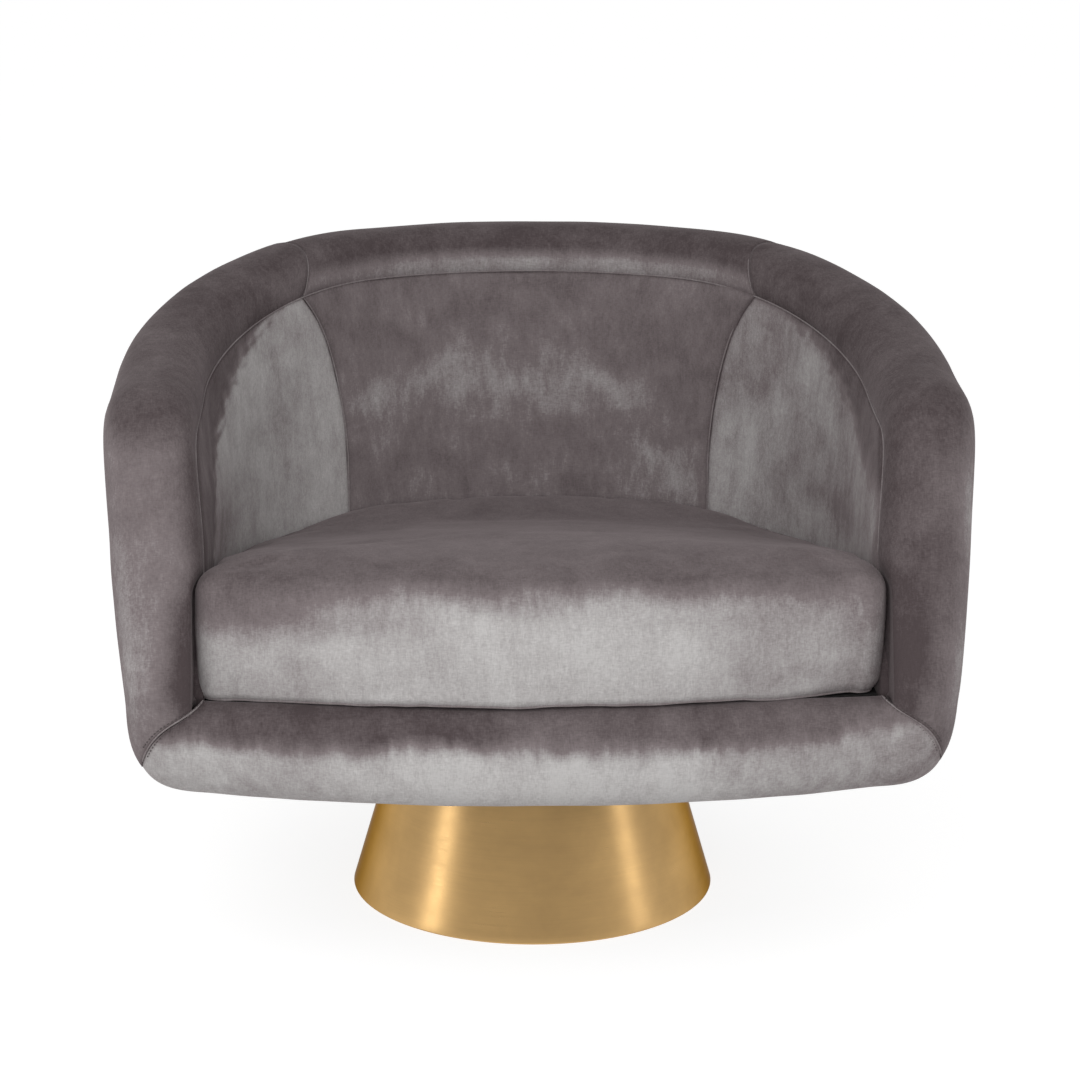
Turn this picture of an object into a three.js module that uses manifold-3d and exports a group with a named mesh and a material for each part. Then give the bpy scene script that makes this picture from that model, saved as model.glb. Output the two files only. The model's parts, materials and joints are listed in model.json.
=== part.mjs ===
// Swivel tub armchair with a loose seat cushion, on a conical metal pedestal.
// Millimetres, +Z up, the sitter faces -Y, and the origin is on the floor under the swivel.
// Left and right are as seen from the front, so left is -X.

import * as THREE from "three";
import { mergeVertices } from "three/addons/utils/BufferGeometryUtils.js";
import Module from "manifold-3d";

const wasm = await Module();
wasm.setup();

const { clamp, degToRad, lerp, smoothstep } = THREE.MathUtils;

// Driving dimensions of the whole chair
const overallWidth = 1016;
const overallDepth = 880;
const railTopHeight = 362;
const frontCoverHeight = 120;
const armSeamHeight = 648;
const backSeamHeight = 737;
const rollRise = 57;
const wallThickness = 108;
const undersideHeight = railTopHeight - frontCoverHeight;
const clearance = 0.5;
const frameClearance = 2.5;
const metalClearance = 0.3;

// Plan of the tub: two straight sides that run into half an ellipse at the back
const curveCentreY = -100;
const outerHalfWidth = overallWidth / 2;
const outerReach = overallDepth / 2 - curveCentreY;
const innerHalfWidth = outerHalfWidth - wallThickness;
const innerReach = outerReach - wallThickness;
const quarterRun = (Math.PI / 4) * (innerHalfWidth + innerReach);

// Lean of the outside, and the round foot where it turns under
const leanStartHeight = 665;
const leanTopAngle = degToRad(2.6);
const leanFootAngle = degToRad(9.7);
const footPower = 3;
const footHeight = frontCoverHeight;

// Lean of the inside: the sides draw in a little, the back slopes
const sidePinch = 10;
const sidePinchHeight = 500;
const backLeanAngle = degToRad(11.8);

// Front edge of the arms, which rakes back going up and tucks back going down
const frontBow = 29;
const armRakeAngle = degToRad(20.9);
const tuckAngle = degToRad(13.5);
const cornerReach = 32;

// Rim line: level round the back, then falling to the arms
const rimLevelRun = 210;
const rimFallRun = 603;

// Seams that divide the roll and the inside and outside covers
const rollSeamRun = 340;
const rollSeamLean = 34;
const insideSeamLowRun = 270;
const insideSeamPower = 5;
const mitreAngle = degToRad(50);

// Padding
const rollPower = 2.4;
const frontRollRise = 53;
const insidePad = 25;
const outsidePad = 6;

// Timber
const seatBoardThickness = 18;
const seatRailThickness = 22;
const frontRailThickness = 25;
const topRailThickness = 20;
const studWidth = 44;
const studThickness = 24;
const backStudShare = 0.352;
const sideStudShares = [0.586, 0.798];
const cornerBlockLeg = 60;

// Deck and springs
const deckPitchAngle = degToRad(2.5);
const deckThickness = 12;
const springWire = 4;
const springCount = 5;
const springSpacingShare = 0.156;
const springSwing = 22;
const springWaves = 7;

// Seat cushion
const cushionWallGap = 1;
const cushionOverhang = 31;
const cushionFrontThickness = 152;
const cushionWaistThickness = 98;
const cushionRearThickness = 112;
const cushionCrown = 12;
const cushionFrontBow = 46;
const cushionSideDrawIn = 4;
const cushionCornerRadius = 30;

// Pedestal
const coneFootRadius = 231;
const coneTopRadius = 163;
const coneFootHeight = 1;
const coneTopGap = 8;
const coneTopHeight = undersideHeight - coneTopGap;
const coneSheet = 2;
const coneFlangeWidth = 16;
const glideThickness = 3;
const glideRadius = 18;
const glideCircleRadius = 190;
const glideCount = 4;
const basePlateThickness = 8;
const topPlateThickness = 6;
const columnRadius = 38;
const columnWall = 3;

// Ball swivel between the pedestal and the tub
const swivelPlateSide = 220;
const swivelPlateThickness = 4;
const swivelPlateCorner = 18;
const ballDiameter = 9.4;
const ballCircleRadius = 70;
const ballCount = 10;
const cageWidth = 20;
const cageThickness = 3;
const boltSpacing = 180;
const boltRadius = 4;
const boltLength = 16;
const boltHeadRadius = 8;
const boltHeadHeight = 3.5;
const pinRadius = 9;
const pinHeadRadius = 16;
const pinHeadHeight = 4;
const pinFootRadius = 15;
const pinFootHeight = 5;
const dustCoverThickness = 1.5;
const dustCoverHoleRadius = 156;

// How finely the round shapes are divided
const roundSides = 48;
const smallSides = 16;
const cushionSides = 64;
const sectionSteps = 10;
const cornerSteps = 4;
const footSteps = 5;
const lineStep = 0.001;
const weldDistance = 0.0005;

// Heights that follow from the sizes above
const boardLow = undersideHeight + outsidePad + clearance;
const boardHigh = boardLow + seatBoardThickness;
const upperPlateLow = boardLow - swivelPlateThickness;
const ballGap = ballDiameter + 2 * metalClearance;
const lowerPlateHigh = upperPlateLow - ballGap;
const lowerPlateLow = lowerPlateHigh - swivelPlateThickness;
const topPlateLow = lowerPlateLow - topPlateThickness;
const basePlateHigh = glideThickness + basePlateThickness;
const frontCentreY = frontRollRise - overallDepth / 2;
const armFootY = frontCentreY + frontBow;

// Finishes
const velvet = { color: 0x827878, roughness: 0.85, metalness: 0 };
const brushedBrass = { color: 0xb98f4c, roughness: 0.32, metalness: 1 };
const steel = { color: 0x8d9094, roughness: 0.4, metalness: 1 };
const darkSteel = { color: 0x3c3d40, roughness: 0.5, metalness: 0.8 };
const plywood = { color: 0xc9a877, roughness: 0.7, metalness: 0 };
const timber = { color: 0xb98f5e, roughness: 0.7, metalness: 0 };
const webbing = { color: 0x2a2828, roughness: 0.9, metalness: 0 };
const glideFelt = { color: 0x3a3533, roughness: 0.95, metalness: 0 };

// Mesh tools

// Welds shared points, drops collapsed triangles and turns the faces outwards
function tidy(geometry) {
  geometry.deleteAttribute("normal");
  geometry.deleteAttribute("uv");
  const welded = mergeVertices(geometry, weldDistance);
  const index = Array.from(welded.index.array);
  const place = welded.attributes.position;
  const kept = [];
  const corner = [new THREE.Vector3(), new THREE.Vector3(), new THREE.Vector3()];
  let volume = 0;
  for (let i = 0; i < index.length; i += 3) {
    const [a, b, c] = index.slice(i, i + 3);
    if (a !== b && b !== c && c !== a) {
      kept.push(a, b, c);
      corner[0].fromBufferAttribute(place, a);
      corner[1].fromBufferAttribute(place, b);
      corner[2].fromBufferAttribute(place, c);
      volume += corner[0].dot(corner[1].cross(corner[2]));
    }
  }
  welded.setIndex(volume < 0 ? kept.reverse() : kept);
  welded.computeVertexNormals();
  return welded;
}

function meshOf(points, triangles) {
  const geometry = new THREE.BufferGeometry();
  const values = points.flatMap((point) => point.toArray());
  geometry.setAttribute("position", new THREE.Float32BufferAttribute(values, 3));
  geometry.setIndex(triangles.flat());
  return tidy(geometry);
}

function quad(a, b, c, d) {
  return [[a, b, c], [a, c, d]];
}

// A closed outline carried through a row of stations, with flat ends
function loft(outline, stations) {
  const profile = THREE.ShapeUtils.isClockWise(outline) ? [...outline].reverse() : outline;
  const count = profile.length;
  const points = stations.flatMap((station) => profile.map(({ x, y }) => station(x, y)));
  const ends = THREE.ShapeUtils.triangulateShape(profile, []);
  const last = (stations.length - 1) * count;
  const triangles = ends.map(([a, b, c]) => [a, c, b]);
  triangles.push(...ends.map((end) => end.map((corner) => corner + last)));
  for (let row = 0; row < last; row += count) {
    for (let j = 0; j < count; j += 1) {
      const next = (j + 1) % count;
      triangles.push(...quad(row + j, row + next, row + count + next, row + count + j));
    }
  }
  return meshOf(points, triangles);
}

// A sheet with a front and a back surface, both functions of the place that two shares give
function sheet(columns, rows, place, front, back) {
  const places = rows.flatMap((b) => columns.map((a) => place(a, b)));
  const points = places.map((at) => front(at.x, at.y));
  points.push(...places.map((at) => back(at.x, at.y)));
  const wide = columns.length;
  const high = rows.length;
  const offset = places.length;
  const triangles = [];
  for (let j = 0; j < high - 1; j += 1) {
    for (let i = 0; i < wide - 1; i += 1) {
      const a = j * wide + i;
      triangles.push(...quad(a, a + 1, a + wide + 1, a + wide));
      triangles.push(...quad(offset + a, offset + a + wide, offset + a + wide + 1, offset + a + 1));
    }
  }
  const edge = [];
  for (let i = 0; i < wide; i += 1) edge.push(i);
  for (let j = 1; j < high; j += 1) edge.push(j * wide + wide - 1);
  for (let i = wide - 2; i >= 0; i -= 1) edge.push((high - 1) * wide + i);
  for (let j = high - 2; j >= 1; j -= 1) edge.push(j * wide);
  edge.forEach((from, k) => {
    const to = edge[(k + 1) % edge.length];
    triangles.push(...quad(to, from, offset + from, offset + to));
  });
  return meshOf(points, triangles);
}

// A flat piece between two outlines with the same number of points
function plate(lowOutline, highOutline) {
  const count = lowOutline.length;
  const flat = lowOutline.map((point) => new THREE.Vector2(point.x, point.y));
  const ends = THREE.ShapeUtils.triangulateShape(flat, []);
  const clockwise = THREE.ShapeUtils.isClockWise(flat);
  const triangles = [];
  for (const [a, b, c] of ends) {
    triangles.push([a, c, b]);
    triangles.push([a + count, b + count, c + count]);
  }
  for (let j = 0; j < count; j += 1) {
    const next = (j + 1) % count;
    const [from, to] = clockwise ? [next, j] : [j, next];
    triangles.push(...quad(from, to, to + count, from + count));
  }
  return meshOf([...lowOutline, ...highOutline], triangles);
}

// Closed loops joined in order, with a centre point at each end
function rings(loops, firstCentre, lastCentre) {
  const count = loops[0].length;
  const points = [...loops.flat(), firstCentre, lastCentre];
  const first = points.length - 2;
  const last = points.length - 1;
  const top = (loops.length - 1) * count;
  const triangles = [];
  for (let j = 0; j < count; j += 1) {
    const next = (j + 1) % count;
    triangles.push([first, next, j], [last, top + j, top + next]);
    for (let row = 0; row < top; row += count) {
      triangles.push(...quad(row + j, row + next, row + count + next, row + count + j));
    }
  }
  return meshOf(points, triangles);
}

// A turned piece about the vertical axis, from a closed outline of radius and height pairs
function turned(pairs, sides = roundSides) {
  const outline = pairs.map(([radius, height]) => new THREE.Vector2(radius, height));
  outline.push(outline[0].clone());
  return tidy(new THREE.LatheGeometry(outline, sides).rotateX(Math.PI / 2));
}

function disc(radius, low, high, sides = roundSides) {
  return turned([[0, low], [radius, low], [radius, high], [0, high]], sides);
}

function toManifold(geometry) {
  const welded = tidy(geometry);
  const vertProperties = Float32Array.from(welded.attributes.position.array);
  const triVerts = Uint32Array.from(welded.index.array);
  return new wasm.Manifold(new wasm.Mesh({ numProp: 3, vertProperties, triVerts }));
}

function fromManifold(body) {
  const { vertProperties, triVerts } = body.getMesh();
  const geometry = new THREE.BufferGeometry();
  geometry.setAttribute("position", new THREE.Float32BufferAttribute(vertProperties, 3));
  geometry.setIndex(Array.from(triVerts));
  return tidy(geometry);
}

function cut(geometry, tools) {
  const body = tools.reduce((rest, tool) => rest.subtract(toManifold(tool)), toManifold(geometry));
  return fromManifold(body);
}

function shares(steps) {
  return Array.from({ length: steps + 1 }, (_, k) => k / steps);
}

function between(low, high, steps) {
  return shares(steps).map((share) => lerp(low, high, share));
}

// Surfaces of the wall, placed by the run along the rim from the back's middle, and the height

function planPoint(run, height, halfWidth, reach) {
  const turn = clamp(run / quarterRun, -1, 1) * (Math.PI / 2);
  const straight = Math.max(0, Math.abs(run) - quarterRun);
  const y = curveCentreY + reach * Math.cos(turn) - straight;
  return new THREE.Vector3(halfWidth * Math.sin(turn), y, height);
}

function innerHalf(height) {
  return innerHalfWidth - sidePinch * (1 - smoothstep(height, sidePinchHeight, armSeamHeight));
}

function innerBack(height) {
  return innerReach - Math.tan(backLeanAngle) * Math.max(0, backSeamHeight - height);
}

function innerPoint(run, height, depth = 0) {
  return planPoint(run, height, innerHalf(height) + depth, innerBack(height) + depth);
}

function outerLean(height) {
  const fall = Math.max(0, leanStartHeight - Math.max(height, railTopHeight));
  const reach = leanStartHeight - undersideHeight;
  const extraSlope = Math.tan(leanFootAngle) - Math.tan(leanTopAngle);
  return Math.tan(leanTopAngle) * fall + (extraSlope * fall * fall) / (2 * reach);
}

const footReach = outerHalfWidth - outerLean(railTopHeight) - innerHalf(railTopHeight);

function footInset(height) {
  const drop = clamp((railTopHeight - height) / footHeight, 0, 1);
  return footReach * (1 - Math.pow(1 - Math.pow(drop, footPower), 1 / footPower));
}

function outerPoint(run, height, inset = 0) {
  const drawn = outerLean(height) + footInset(height) + inset;
  return planPoint(run, height, outerHalfWidth - drawn, outerReach - drawn);
}

function wallPoint(run, height, share) {
  return innerPoint(run, height).lerp(outerPoint(run, height), share);
}

// Back of the outside cover, square to its round foot and level with the wall above
function coverBack(run, height) {
  const drop = clamp((railTopHeight - height) / footHeight, 0, 1);
  const across = Math.pow(1 - Math.pow(drop, footPower), 1 / footPower);
  const normal = new THREE.Vector2(
    Math.pow(across, footPower - 1) / footReach,
    Math.pow(drop, footPower - 1) / footHeight,
  );
  normal.normalize().multiplyScalar(outsidePad);
  const drawn = outerLean(height) + footInset(height) + normal.x;
  return planPoint(run, height + normal.y, outerHalfWidth - drawn, outerReach - drawn);
}

function footLevel(share) {
  const swing = (1 - share) * (Math.PI / 2);
  return railTopHeight - footHeight * Math.pow(Math.sin(swing), 2 / footPower);
}

// How far in from the outside the frame starts, at a height, to clear the outside cover
const coverSection = shares(footSteps).map((share) => coverBack(quarterRun, footLevel(share)));

function frameInset(height) {
  if (height >= railTopHeight) return outsidePad + frameClearance;
  const after = Math.max(1, coverSection.findIndex((point) => point.z >= height));
  const low = coverSection[after - 1];
  const high = coverSection[after];
  const cover = lerp(low.x, high.x, clamp((height - low.z) / (high.z - low.z), 0, 1));
  return outerHalfWidth - outerLean(height) - footInset(height) - cover + frameClearance;
}

const frameDepth = insidePad + frameClearance;

// Front edge of the wall, and the line that the roll follows on the right-hand side

function frontY(height) {
  const rise = height - railTopHeight;
  return armFootY + (rise > 0 ? rise * Math.tan(armRakeAngle) : -rise * Math.tan(tuckAngle));
}

function frontRun(height) {
  return quarterRun + curveCentreY - frontY(height);
}

function seamHeight(run) {
  const fall = clamp((Math.abs(run) - rimLevelRun) / rimFallRun, 0, 1);
  return lerp(armSeamHeight, backSeamHeight, (1 + Math.cos(Math.PI * fall)) / 2);
}

// A point off the rim line at the back, square to it
function rimOffset(run, offset) {
  const rise = seamHeight(run + lineStep) - seamHeight(run - lineStep);
  const outward = new THREE.Vector2(-rise, 2 * lineStep).normalize();
  return new THREE.Vector2(run, seamHeight(run)).add(outward.multiplyScalar(offset));
}

const cornerPeak = new THREE.Vector2(frontRun(armSeamHeight), armSeamHeight);
const cornerStartRun = cornerPeak.x - cornerReach;
const cornerStart = new THREE.Vector2(cornerStartRun, seamHeight(cornerStartRun));
const cornerEndHeight = armSeamHeight - cornerReach * Math.cos(armRakeAngle);
const cornerEnd = new THREE.Vector2(frontRun(cornerEndHeight), cornerEndHeight);
const cornerCurve = new THREE.QuadraticBezierCurve(cornerStart, cornerPeak, cornerEnd);

// Stages of the line: the rim, then the top corner, the arm's front and the foot.
// The seam across the roll leans towards the middle as it goes out from the line.
const rimStage = 1;
const cornerStage = 2;
const frontStage = 3;

function seamLine(stage, out) {
  if (stage <= rimStage) {
    const run = lerp(rollSeamRun - out * rollSeamLean, cornerStart.x, stage);
    return new THREE.Vector2(run, seamHeight(run));
  }
  if (stage <= cornerStage) return cornerCurve.getPoint(stage - rimStage);
  const height = stage <= frontStage
    ? lerp(cornerEnd.y, railTopHeight, stage - cornerStage)
    : lerp(railTopHeight, undersideHeight, stage - frontStage);
  return new THREE.Vector2(frontRun(height), height);
}

function seamLineOffset(stage, offset, out = 0) {
  const before = seamLine(Math.max(0, stage - lineStep), out);
  const along = seamLine(stage + lineStep, out).sub(before).normalize();
  return seamLine(stage, out).add(new THREE.Vector2(-along.y, along.x).multiplyScalar(offset));
}

// Front rail's back face, bowed forward at the middle more at the foot than at the top
const cornerHalf = innerHalf(railTopHeight);

function railBackY(x, height) {
  const middle = 1 - Math.pow(clamp(x / cornerHalf, -1, 1), 2);
  return lerp(frontY(height), frontCentreY, middle);
}

// Deck heights
function deckTop(y) {
  return railTopHeight - clearance - (y - frontCentreY) * Math.tan(deckPitchAngle);
}

function supportTop(y) {
  return deckTop(y) - deckThickness - springWire - 2 * metalClearance;
}

// Pedestal pieces

const slant = Math.hypot(coneFootRadius - coneTopRadius, coneTopHeight - coneFootHeight);
const coneSheetAcross = (coneSheet * slant) / (coneTopHeight - coneFootHeight);

function coneRadius(height) {
  const share = (height - coneFootHeight) / (coneTopHeight - coneFootHeight);
  return lerp(coneFootRadius, coneTopRadius, share);
}

function baseCone() {
  const flangeInside = coneFootRadius - coneFlangeWidth;
  return turned([
    [flangeInside, coneFootHeight],
    [coneFootRadius, coneFootHeight],
    [coneTopRadius, coneTopHeight],
    [coneTopRadius - coneSheetAcross, coneTopHeight],
    [coneRadius(glideThickness) - coneSheetAcross, glideThickness],
    [flangeInside, glideThickness],
  ]);
}

function coneDisc(low, high) {
  return disc(coneRadius(high) - coneSheetAcross - metalClearance, low, high);
}

function column() {
  const bore = columnRadius - columnWall;
  return turned([
    [bore, basePlateHigh],
    [columnRadius, basePlateHigh],
    [columnRadius, topPlateLow],
    [bore, topPlateLow],
  ]);
}

function hole(x, y, radius) {
  return new THREE.Path().absarc(x, y, radius, 0, 2 * Math.PI, true);
}

const boltPlaces = [[-1, -1], [1, -1], [1, 1], [-1, 1]].map(([x, y]) => {
  return [(x * boltSpacing) / 2, (y * boltSpacing) / 2];
});

function swivelPlate(low) {
  const half = swivelPlateSide / 2;
  const flat = half - swivelPlateCorner;
  const outline = new THREE.Shape();
  outline.absarc(flat, flat, swivelPlateCorner, 0, Math.PI / 2);
  outline.absarc(-flat, flat, swivelPlateCorner, Math.PI / 2, Math.PI);
  outline.absarc(-flat, -flat, swivelPlateCorner, Math.PI, 1.5 * Math.PI);
  outline.absarc(flat, -flat, swivelPlateCorner, 1.5 * Math.PI, 2 * Math.PI);
  outline.holes.push(hole(0, 0, pinRadius + metalClearance));
  outline.holes.push(...boltPlaces.map(([x, y]) => hole(x, y, boltRadius + metalClearance)));
  const settings = { depth: swivelPlateThickness, bevelEnabled: false, curveSegments: smallSides / 2 };
  return tidy(new THREE.ExtrudeGeometry(outline, settings).translate(0, 0, low));
}

function topPlate() {
  const bore = boltRadius + metalClearance;
  const past = clearance;
  const low = topPlateLow - past;
  const high = lowerPlateLow + past;
  const drills = boltPlaces.map(([x, y]) => disc(bore, low, high, smallSides).translate(x, y, 0));
  drills.push(disc(pinRadius + metalClearance, low, high, smallSides));
  return cut(coneDisc(topPlateLow, lowerPlateLow), drills);
}

// The pin holds the two plates together: its foot is under the pedestal's top plate
function swivelPin() {
  const headLow = boardLow + metalClearance;
  const headHigh = headLow + pinHeadHeight;
  const footLow = topPlateLow - pinFootHeight;
  return turned([
    [0, footLow],
    [pinFootRadius, footLow],
    [pinFootRadius, topPlateLow],
    [pinRadius, topPlateLow],
    [pinRadius, headLow],
    [pinHeadRadius, headLow],
    [pinHeadRadius, headHigh],
    [0, headHigh],
  ], smallSides);
}

// A bolt whose head sits on a face at seat and whose shank points up or down
function bolt(place, seat, up) {
  const sign = up ? 1 : -1;
  const shape = turned([
    [0, seat - sign * boltHeadHeight],
    [boltHeadRadius, seat - sign * boltHeadHeight],
    [boltHeadRadius, seat],
    [boltRadius, seat],
    [boltRadius, seat + sign * boltLength],
    [0, seat + sign * boltLength],
  ], smallSides);
  return shape.translate(place[0], place[1], 0);
}

function ballCage() {
  const middle = (upperPlateLow + lowerPlateHigh) / 2;
  const inside = ballCircleRadius - cageWidth / 2;
  const outside = ballCircleRadius + cageWidth / 2;
  const low = middle - cageThickness / 2;
  const high = middle + cageThickness / 2;
  const ring = [[inside, low], [outside, low], [outside, high], [inside, high]];
  let body = toManifold(turned(ring, 2 * smallSides));
  for (let k = 0; k < ballCount; k += 1) {
    const angle = (2 * Math.PI * k) / ballCount;
    const ball = new THREE.IcosahedronGeometry(ballDiameter / 2, 1);
    ball.translate(ballCircleRadius * Math.cos(angle), ballCircleRadius * Math.sin(angle), middle);
    body = body.add(toManifold(ball));
  }
  return fromManifold(body);
}

// Frame pieces

// Outline of a board that fills the tub at a height: round the back, then along the front
function tubOutline(height, backPoint, frontHalf, steps) {
  const reach = frontRun(height) - frameClearance;
  const rim = between(-reach, reach, 2 * steps).map((run) => backPoint(run, height));
  const front = between(frontHalf, -frontHalf, steps).map((x) => {
    return new THREE.Vector3(x, railBackY(x, height) + frameClearance, height);
  });
  return [...rim, ...front];
}

function seatBoard() {
  const edge = (run, height) => outerPoint(run, height, frameInset(height));
  const low = tubOutline(boardLow, edge, cornerHalf, smallSides);
  const high = tubOutline(boardHigh, edge, cornerHalf, smallSides);
  const past = clearance;
  const drillTop = upperPlateLow + boltLength + clearance;
  const drills = boltPlaces.map(([x, y]) => {
    const drill = disc(boltRadius + metalClearance, boardLow - past, drillTop, smallSides);
    return drill.translate(x, y, 0);
  });
  const pinHole = pinHeadRadius + pinHeadHeight;
  drills.push(disc(pinHole, boardLow - past, boardHigh + past, 2 * smallSides));
  return cut(plate(low, high), drills);
}

function dustCover() {
  const high = boardLow - metalClearance;
  const low = high - dustCoverThickness;
  const edge = (run, height) => {
    const drawn = footReach + frameClearance - footInset(height);
    return outerPoint(run, height, drawn).setZ(height);
  };
  const frontHalf = cornerHalf - frameClearance;
  const lowOutline = tubOutline(undersideHeight, edge, frontHalf, smallSides);
  const outline = (height) => lowOutline.map((point) => point.clone().setZ(height));
  const ring = plate(outline(low), outline(high));
  const past = clearance;
  return cut(ring, [disc(dustCoverHoleRadius, low - past, high + past)]);
}

const unitSquare = [[0, 0], [1, 0], [1, 1], [0, 1]].map(([x, y]) => new THREE.Vector2(x, y));

function frontRail() {
  const half = cornerHalf - clearance;
  const stations = between(-half, half, 12).map((x) => (across, up) => {
    const depth = frameClearance + across * frontRailThickness;
    const top = supportTop(railBackY(x, railTopHeight) + frameClearance + frontRailThickness);
    const height = lerp(boardHigh, top, up);
    return new THREE.Vector3(x, railBackY(x, height) + depth, height);
  });
  return loft(unitSquare, stations);
}

// A seat rail inside the wall between two runs, on the board and under the springs
function seatRail(fromRun, toRun) {
  const stations = between(fromRun, toRun, 10).map((run) => (across, up) => {
    const top = supportTop(innerPoint(run, railTopHeight, seatRailThickness).y);
    return innerPoint(run, lerp(boardHigh, top, up), across * seatRailThickness);
  });
  return loft(unitSquare, stations);
}

const frontRailBackY = frontY(boardHigh) + frameClearance + frontRailThickness + clearance;
const sideRailEndRun = quarterRun + curveCentreY - frontRailBackY;

function cornerBlock(side) {
  const x = side * (cornerHalf - clearance);
  const y = frontRailBackY;
  const corners = [[x, y], [x - side * cornerBlockLeg, y], [x, y + cornerBlockLeg]];
  const outline = (height) => corners.map(([px, py]) => new THREE.Vector3(px, py, height));
  return plate(outline(boardHigh), outline(supportTop(y + cornerBlockLeg)));
}

// Timber under the roll: it fills the wall between the covers and follows a line of points
function rollBacking(points, side) {
  const stations = points.map((lineAt) => (across, up) => {
    const at = lineAt(lerp(-clearance - topRailThickness, -clearance, up));
    const inside = innerPoint(side * at.x, at.y, frameDepth);
    const outside = outerPoint(side * at.x, at.y, frameInset(at.y));
    return inside.lerp(outside, across);
  });
  return loft(unitSquare, stations);
}

const rimGapStage = clearance / (cornerStart.x - rollSeamRun);

function backTopRail() {
  const half = rollSeamRun - clearance;
  const points = between(-half, half, 14).map((run) => (offset) => rimOffset(run, offset));
  return rollBacking(points, 1);
}

function armRail(side) {
  const points = between(rimGapStage, rimStage - rimGapStage, 10).map((stage) => (offset) => {
    return seamLineOffset(stage, offset);
  });
  return rollBacking(points, side);
}

const boardStage = frontStage + (railTopHeight - boardHigh) / footHeight;

function armPost(side) {
  const corner = between(rimStage, cornerStage, cornerSteps);
  const front = between(cornerStage, frontStage, 3).slice(1);
  const stages = [...corner, ...front, ...between(frontStage, boardStage, 3).slice(1)];
  const points = stages.map((stage) => (offset) => {
    const at = seamLineOffset(stage, offset);
    return stage === boardStage ? at.setY(boardHigh) : at;
  });
  return rollBacking(points, side);
}

function stud(middleRun) {
  const outline = [[-1, 0], [1, 0], [1, 1], [-1, 1]].map(([x, y]) => new THREE.Vector2(x, y));
  const stations = shares(4).map((share) => (across, deep) => {
    const run = middleRun + (across * studWidth) / 2;
    const top = seamHeight(run) - topRailThickness - 3 * clearance;
    return innerPoint(run, lerp(boardHigh, top, share), frameDepth + deep * studThickness);
  });
  return loft(outline, stations);
}

function spring(x) {
  const half = springWire / 2;
  const corners = [[-half, -half], [half, -half], [half, half], [-half, half]];
  const outline = corners.map(([px, py]) => new THREE.Vector2(px, py));
  const frontEnd = railBackY(x, railTopHeight) + frameClearance + frontRailThickness / 2;
  const railHalf = innerHalf(boardHigh) + seatRailThickness / 2;
  const railReach = innerBack(supportTop(innerReach / 2)) + seatRailThickness / 2;
  const backEnd = curveCentreY + railReach * Math.sqrt(1 - Math.pow(x / railHalf, 2));
  const centre = (share) => {
    const swing = springSwing * Math.sin(2 * Math.PI * springWaves * share);
    return new THREE.Vector2(x + swing, lerp(frontEnd, backEnd, share));
  };
  const stations = shares(4 * springWaves).map((share) => (across, up) => {
    const before = centre(Math.max(0, share - lineStep));
    const after = centre(Math.min(1, share + lineStep));
    const along = after.sub(before).normalize();
    const at = centre(share).add(new THREE.Vector2(along.y, -along.x).multiplyScalar(across));
    const middle = supportTop(at.y) + metalClearance + half;
    return new THREE.Vector3(at.x, at.y, middle + up);
  });
  return loft(outline, stations);
}

function deck() {
  const edge = (drop) => (run, height) => {
    const guess = innerPoint(run, height, -frameClearance);
    const at = innerPoint(run, deckTop(guess.y) - drop, -frameClearance);
    return at.setZ(deckTop(at.y) - drop);
  };
  const layer = (drop) => {
    const height = deckTop(armFootY) - drop;
    const outline = tubOutline(height, edge(drop), cornerHalf - frameClearance, smallSides);
    return outline.map((point) => point.setZ(deckTop(point.y) - drop));
  };
  return plate(layer(deckThickness), layer(0));
}

// Covers and padding

function insideSeamRun(height) {
  const share = clamp((height - railTopHeight) / (backSeamHeight - railTopHeight), 0, 1);
  return lerp(insideSeamLowRun, rollSeamRun, Math.pow(share, insideSeamPower));
}

function insideFoot(run) {
  return deckTop(innerPoint(run, railTopHeight).y) - deckThickness + clearance;
}

function insideFace(run, height) {
  return innerPoint(run, height);
}

function insidePadBack(run, height) {
  return innerPoint(run, height, insidePad);
}

function insideBack() {
  const place = (a, b) => {
    const half = insideSeamRun(lerp(railTopHeight, backSeamHeight, b)) - clearance / 2;
    const run = lerp(-half, half, a);
    const top = rimOffset(run, -clearance);
    return new THREE.Vector2(lerp(run, top.x, b), lerp(insideFoot(run), top.y, b));
  };
  return sheet(shares(12), sidePanelRows, place, insideFace, insidePadBack);
}

// A surface patch from its four edges, each a function of one share
function coons(low, high, near, far, a, b) {
  const rows = low(a).multiplyScalar(1 - b).add(high(a).multiplyScalar(b));
  const columns = near(b).multiplyScalar(1 - a).add(far(b).multiplyScalar(a));
  const lowLine = low(0).multiplyScalar(1 - a).add(low(1).multiplyScalar(a));
  const highLine = high(0).multiplyScalar(1 - a).add(high(1).multiplyScalar(a));
  const corners = lowLine.multiplyScalar(1 - b).add(highLine.multiplyScalar(b));
  return rows.add(columns).sub(corners);
}

// Share of a side panel's height that is the arm's front, with the top corner above it
const frontShare = 0.88;

function frontEdge(share, footStage) {
  const stage = share < frontShare
    ? lerp(footStage, cornerStage, share / frontShare)
    : lerp(cornerStage, rimStage, (share - frontShare) / (1 - frontShare));
  return seamLineOffset(stage, -clearance);
}

const sidePanelRows = [...between(0, frontShare, 5), ...between(frontShare, 1, cornerSteps).slice(1)];

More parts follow.
